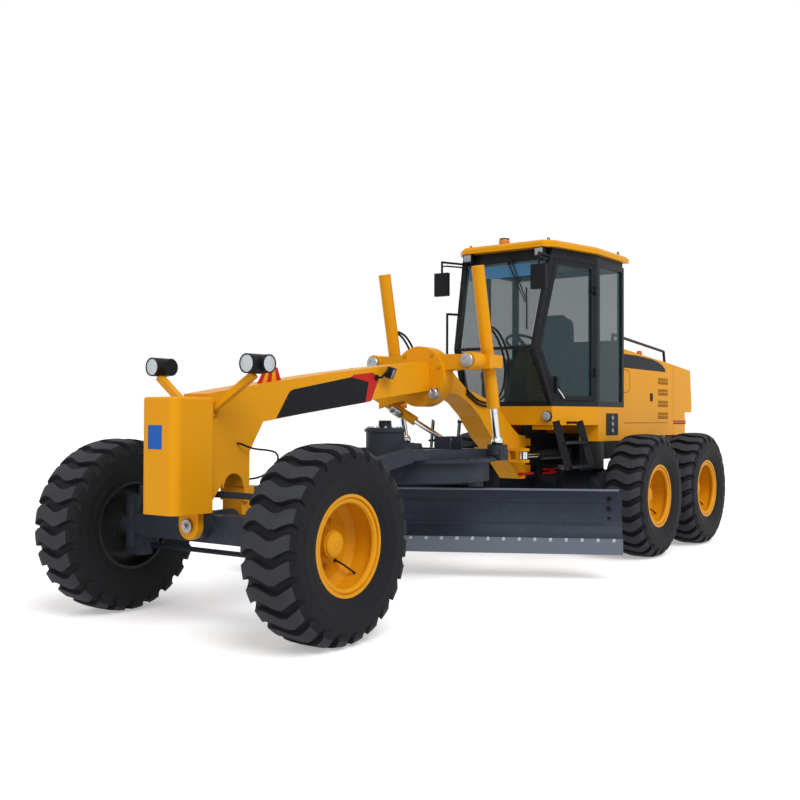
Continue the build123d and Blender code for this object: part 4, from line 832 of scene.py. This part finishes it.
for side in (-1, 1):
    arms.append(block((side * armLook["x"], *armLook["pad"]), armLook["padSize"], 0.015))
    arms.append(tube([onSide(side, place) for place in armLook["stay"]], 0.016))
    for k in range(armLook["levers"]):
        foot = (side * armLook["x"], armLook["leverY"] + armLook["leverStep"] * k, armLook["leverZ"])
        arms.append(tube([foot, (foot[0], foot[1] - 0.005, foot[2] + 0.07)], 0.006, 8))
        arms.append(lathe(armLook["knob"], foot, (0, 0, 1), 14))
makePiece("seat_arms", joined(arms), "rear", "plastic")
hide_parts("seat")
print("seat made")


# hood: blank sweep, seams, vents, latch, stripes and lamp

hoodLook = {
    "half": 0.6,
    "sweep": [(2.05, 2.29), (2.6, 2.288), (3.044, 2.268), (3.25, 2.244), (3.42, 2.205), (3.50, 2.165),
              (3.534, 2.122), (2.05, 2.125)],
    "door": [(2.05, 2.10), (2.29, 2.10), (2.345, 2.085), (2.372, 2.04), (2.374, 1.9), (2.36, 1.86),
             (2.31, 1.838), (2.05, 1.825)],
    "sills": (((2.05, 1.47), (3.1, 1.47)), ((3.13, 1.47), (3.6, 1.47))), "seam": 0.5985,
    "stripe": (3.8, 4.255), "darkStripe": (1.452, 1.468), "redStripe": (1.474, 1.501),
    "vents": (1.518, 1.670, 1.816, 1.958), "vent": (3.272, 3.608), "ventHigh": 0.08,
    "ventSide": 0.5945, "barSide": 0.598, "barRise": 0.041, "bars": 9, "barStep": 0.042,
    "cross": (0.006, 0.336, 0.012), "crossY": 3.44,
    "topStart": (1.945, 2.365), "topRun": 1.845, "topFall": 0.135,
    "lamp": (0.45, 3.03), "lampFoot": [(0.045, -0.01), (0.045, 0.02), (0.03, 0.03)],
    "lampDome": [(0.034, 0.028), (0.036, 0.05), (0.034, 0.078), (0.02, 0.09)],
}


def sideSheet(x, ends, heights, thick):
    # an upright rectangle on the left side, from one y to another and one z to another
    (y0, y1), (z0, z1) = ends, heights
    return plate([(x, y0, z0), (x, y1, z0), (x, y1, z1), (x, y0, z1)], (1, 0, 0), thick)


def bothSides(shapes):
    return joined([joined(shapes), mirror(joined(shapes))])


makePiece("hood_sweep", sidePlates(hoodLook["sweep"], hoodLook["half"]), "rear", "vinyl", plateSharp)
seams = []
for run in (hoodLook["door"], *hoodLook["sills"]):
    seams.append(tube([(hoodLook["seam"], y, z) for y, z in run], 0.004, 6))
seams.append(block((0.602, 3.044, 1.79), (0.02, 0.07, 0.1), 0.009))
seams.append(sideSheet(hoodLook["half"], hoodLook["stripe"], hoodLook["darkStripe"], 0.0012))
grid = []
for z in hoodLook["vents"]:
    heights = (z + 0.002, z + hoodLook["ventHigh"])
    seams.append(sideSheet(hoodLook["ventSide"], hoodLook["vent"], heights, 0.0008))
    for k in range(hoodLook["bars"]):
        place = (hoodLook["barSide"], hoodLook["vent"][0] + hoodLook["barStep"] * k, z + hoodLook["barRise"])
        grid.append(block(place, (0.006, 0.014, hoodLook["ventHigh"]), 0.0015))
    middle = (hoodLook["barSide"], hoodLook["crossY"], z + hoodLook["barRise"])
    grid.append(block(middle, hoodLook["cross"], 0.0015))
makePiece("hood_seams", bothSides(seams), "rear", "vinyl")
makePiece("hood_vents", bothSides(grid), "rear", "yellow")
redStripe = sideSheet(hoodLook["half"], hoodLook["stripe"], hoodLook["redStripe"], 0.0012)
makePiece("hood_stripes", bothSides([redStripe]), "rear", "red", plateSharp)
# height of the hood's top at the lamp = height at its start less the fall for each metre of run
topY, topZ = hoodLook["topStart"]
lampTop = topZ - (hoodLook["lamp"][1] - topY) / hoodLook["topRun"] * hoodLook["topFall"]
lampPlace = (*hoodLook["lamp"], lampTop)
makePiece("hood_lamp_foot", lathe(hoodLook["lampFoot"], lampPlace, (0, 0, 1)), "rear", "plastic")
makePiece("hood_lamp", lathe(hoodLook["lampDome"], lampPlace, (0, 0, 1)), "rear", "amber")
print("hood fitted")


# tank, lock bars, guards, ladder treads, skirt step, tail lamps and the axle pin's end

rearLook = {
    "tankSide": 0.72, "tankEnds": (1.43, 1.75), "tankHeights": (1.335, 1.58),
    "dials": (1.53, 1.46, 1.385), "dialY": 1.59,
    "dial": [(0.026, 0.003), (0.026, 0.012), (0.02, 0.014), (0.019, 0.009), (0.004, 0.009)],
    "treads": ((0.79225, 1.27225, -0.0195), (0.84475, 1.02475, 0.0255)),
    "studs": 12, "studStep": 0.042, "studRow": 0.022, "studStart": 0.27, "studRise": 0.012,
    "stud": [(0.009, -0.001), (0.009, 0.003), (0.005, 0.006)],
    "guard": (0.488, 1.56, 1.11), "guardSize": (0.014, 0.62, 0.34),
    "tailBox": (0.45, 4.296, 1.5), "tailBoxSize": (0.13, 0.03, 0.1), "tailAt": (0.45, 4.31, 1.5),
    "tail": [(0.038, 0.0), (0.038, 0.008), (0.03, 0.014), (0.01, 0.016)],
    "axlePin": [(0.05, -0.002), (0.05, 0.008), (0.046, 0.01)],
}
tank = sideSheet(rearLook["tankSide"], rearLook["tankEnds"], rearLook["tankHeights"], 0.004)
makePiece("tank_panel", bothSides([tank]), "rear", "plastic", plateSharp)
dials = []
for z in rearLook["dials"]:
    dials.append(lathe(rearLook["dial"], (rearLook["tankSide"], rearLook["dialY"], z), (1, 0, 0), 24))
makePiece("tank_gauges", joined(dials), "rear", "zinc")

frontLock = [block((0.134, 0.655, 0.921), (0.018, 0.33, 0.026), 0.004),
             bolt((0.142, 0.53, 0.921), (1, 0, 0), 0.012)]
makePiece("lock_bar_front", joined(frontLock), "front", "red")
rearLock = [block((0.113, 1.28, 0.95), (0.018, 0.38, 0.02), 0.004),
            block((0.113, 1.25, 0.905), (0.018, 0.34, 0.02), 0.004),
            block((0.114, 1.28, 0.928), (0.02, 0.12, 0.05), 0.006),
            bolt((0.122, 1.11, 0.95), (1, 0, 0), 0.01)]
makePiece("lock_bar_rear", joined(rearLock), "rear", "red")

guards = []
for side in (-1, 1):
    guards.append(block(onSide(side, rearLook["guard"]), rearLook["guardSize"], 0.004))
    for x, z, shift in rearLook["treads"]:
        for k in range(rearLook["studs"]):
            for row in (-1, 1):
                y = rearLook["studStart"] + rearLook["studStep"] * k + shift
                stud = (side * (x + row * rearLook["studRow"]), y, z + rearLook["studRise"])
                guards.append(lathe(rearLook["stud"], stud, (0, 0, 1), 8))
    guards.append(block(onSide(side, rearLook["tailBox"]), rearLook["tailBoxSize"], 0.012))
makePiece("guards_and_treads", joined(guards), "rear", "black")
makePiece("skirt_step", block((0.41, 0.522, 1.427), (0.24, 0.03, 0.05), 0.006), "rear", "yellow")
tails = [lathe(rearLook["tail"], onSide(side, rearLook["tailAt"]), (0, 1, 0)) for side in (-1, 1)]
makePiece("tail_lenses", joined(tails), "rear", "redLens")
axlePin = [lathe(rearLook["axlePin"], (0.0, -4.086, 0.747), (0, -1, 0)),
           bolt((0.0, -4.094, 0.747), (0, -1, 0), 0.02)]
makePiece("axle_pin_end", joined(axlePin), "front", "zinc")
print("rear fitted")


# hoses: each a smooth spline held at both ends

def splineOf(name, route):
    curve = bpy.data.curves.new(name, "CURVE")
    curve.dimensions = "3D"
    line = curve.splines.new("NURBS")
    line.points.add(len(route) - 1)
    for point, place in zip(line.points, route):
        point.co = (*place, 1.0)
    line.order_u = 3
    line.use_endpoint_u = True
    line.resolution_u = 8
    return curve


def splineLine(name, route):
    # points read from the route's own spline
    obj = addObject(name + "_line", splineOf(name + "_line", route))
    bpy.context.view_layer.update()
    mesh = bpy.data.meshes.new_from_object(obj.evaluated_get(bpy.context.evaluated_depsgraph_get()))
    points = np.array([v.co for v in mesh.vertices])
    bpy.data.meshes.remove(mesh)
    bpy.data.objects.remove(obj)
    return points


def hose(name, route, diameter, body):
    curve = splineOf(name, route)
    curve.bevel_depth = diameter / 2
    curve.bevel_resolution = 4
    curve.use_fill_caps = True
    curve.materials.append(finishes["rubber"])
    obj = addObject(name, curve)
    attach(obj, body)
    points = splineLine(name, route)
    print(name, "is", round(float(np.linalg.norm(np.diff(points, axis=0), axis=1).sum()), 3), "m long")


frameRoute = [(0.11, -3.718, 1.332), (0.155, -3.71, 1.33), (0.175, -3.66, 1.305), (0.172, -3.57, 1.285),
              (0.165, -3.43, 1.275), (0.15, -3.32, 1.255), (0.11, -3.25, 1.2), (0.06, -3.26, 1.12),
              (0.02, -3.36, 1.06), (0.0, -3.48, 1.05), (0.0, -3.60, 1.05)]
hose("frame_hose", frameRoute, 0.015, "front")
# (y, z) points of the two hoses beside each lift cylinder
liftRoute = [(-0.85, 2.385), (-0.79, 2.385), (-0.66, 2.34), (-0.51, 2.18), (-0.455, 2.0), (-0.49, 1.82),
             (-0.6, 1.70), (-0.70, 1.685)]
for side, name in ((1, "left"), (-1, "right")):
    for k, x in enumerate((0.515, 0.565)):
        route = [(side * x, y, z) for y, z in liftRoute]
        hose("lift_hose_%s_%d" % (name, k), route, 0.022, "lift_cylinder_" + name)
print("hoses made")


# floor, light and camera

def seenRay(tree):
    # one for what the camera sees directly, in gloss and through glass: all three show the same background
    path = addNode(tree, "ShaderNodeLightPath")
    direct = addNode(tree, "ShaderNodeMath", {0: (path, "Is Camera Ray"), 1: (path, "Is Transmission Ray")},
                     operation="MAXIMUM")
    return addNode(tree, "ShaderNodeMath", {0: (direct, "Value"), 1: (path, "Is Glossy Ray")},
                   operation="MAXIMUM")


def makeStage():
    half = 60.0
    mesh = bpy.data.meshes.new("floor")
    corners = [(-half, -half, 0), (half, -half, 0), (half, half, 0), (-half, half, 0)]
    mesh.from_pydata(corners, [], [(0, 1, 2, 3)])
    floor = addObject("floor", mesh)
    mat = bpy.data.materials.new("pale_floor")
    tree = emptyTree(mat)
    matt = addNode(tree, "ShaderNodeBsdfDiffuse", {"Color": linear("#f4f4f4")})
    glow = addNode(tree, "ShaderNodeEmission", {"Color": (1, 1, 1, 1), "Strength": 0.35})
    lit = addNode(tree, "ShaderNodeAddShader", {0: (matt, "BSDF"), 1: (glow, "Emission")})
    mixed = addNode(tree, "ShaderNodeMixShader", {0: (seenRay(tree), "Value"), 1: (matt, "BSDF"),
                                                  2: (lit, "Shader")})
    addNode(tree, "ShaderNodeOutputMaterial", {"Surface": (mixed, "Shader")})
    mesh.materials.append(mat)


def makeLight():
    world = bpy.data.worlds.new("studio")
    scene.world = world
    tree = emptyTree(world)
    level = mapped(tree, (seenRay(tree), "Value"), (0.5, 1.0))
    back = addNode(tree, "ShaderNodeBackground", {"Color": (1, 1, 1, 1), "Strength": (level, "Result")})
    addNode(tree, "ShaderNodeOutputWorld", {"Surface": (back, "Background")})
    # name, strength, width in degrees, aim
    suns = (("key", 1.9, 35, (-0.82, 0.42, -1.0)), ("fill", 0.4, 60, (-0.2, 1.0, -0.35)))
    for name, power, spread, aim in suns:
        lamp = bpy.data.lights.new(name, "SUN")
        lamp.energy = power
        lamp.angle = math.radians(spread)
        obj = addObject(name, lamp)
        obj.rotation_euler = Vector(aim).to_track_quat("-Z", "Y").to_euler()


cameraLook = {
    "at": (5.43224, -9.03834, 1.5254), "yaw": 35.7739, "pitch": 0.98925, "roll": 0.2165,
    "sensor": 36, "lens": 45.43,
}


def makeCamera():
    yaw, pitch, roll = (math.radians(cameraLook[key]) for key in ("yaw", "pitch", "roll"))
    ahead = Vector((-math.sin(yaw) * math.cos(pitch), math.cos(yaw) * math.cos(pitch), math.sin(pitch)))
    right = Vector((math.cos(yaw), math.sin(yaw), 0))
    up = right.cross(ahead)
    rolledRight = right * math.cos(roll) + up * math.sin(roll)
    rolledUp = up * math.cos(roll) - right * math.sin(roll)
    data = bpy.data.cameras.new("camera")
    data.sensor_width = cameraLook["sensor"]
    data.lens = cameraLook["lens"]
    camera = addObject("camera", data)
    turn = Matrix((rolledRight, rolledUp, -ahead)).transposed().to_4x4()
    camera.matrix_world = Matrix.Translation(cameraLook["at"]) @ turn
    scene.camera = camera


makeStage()
makeLight()
makeCamera()
scene.view_settings.view_transform = "Standard"
print("stage, light and camera set")
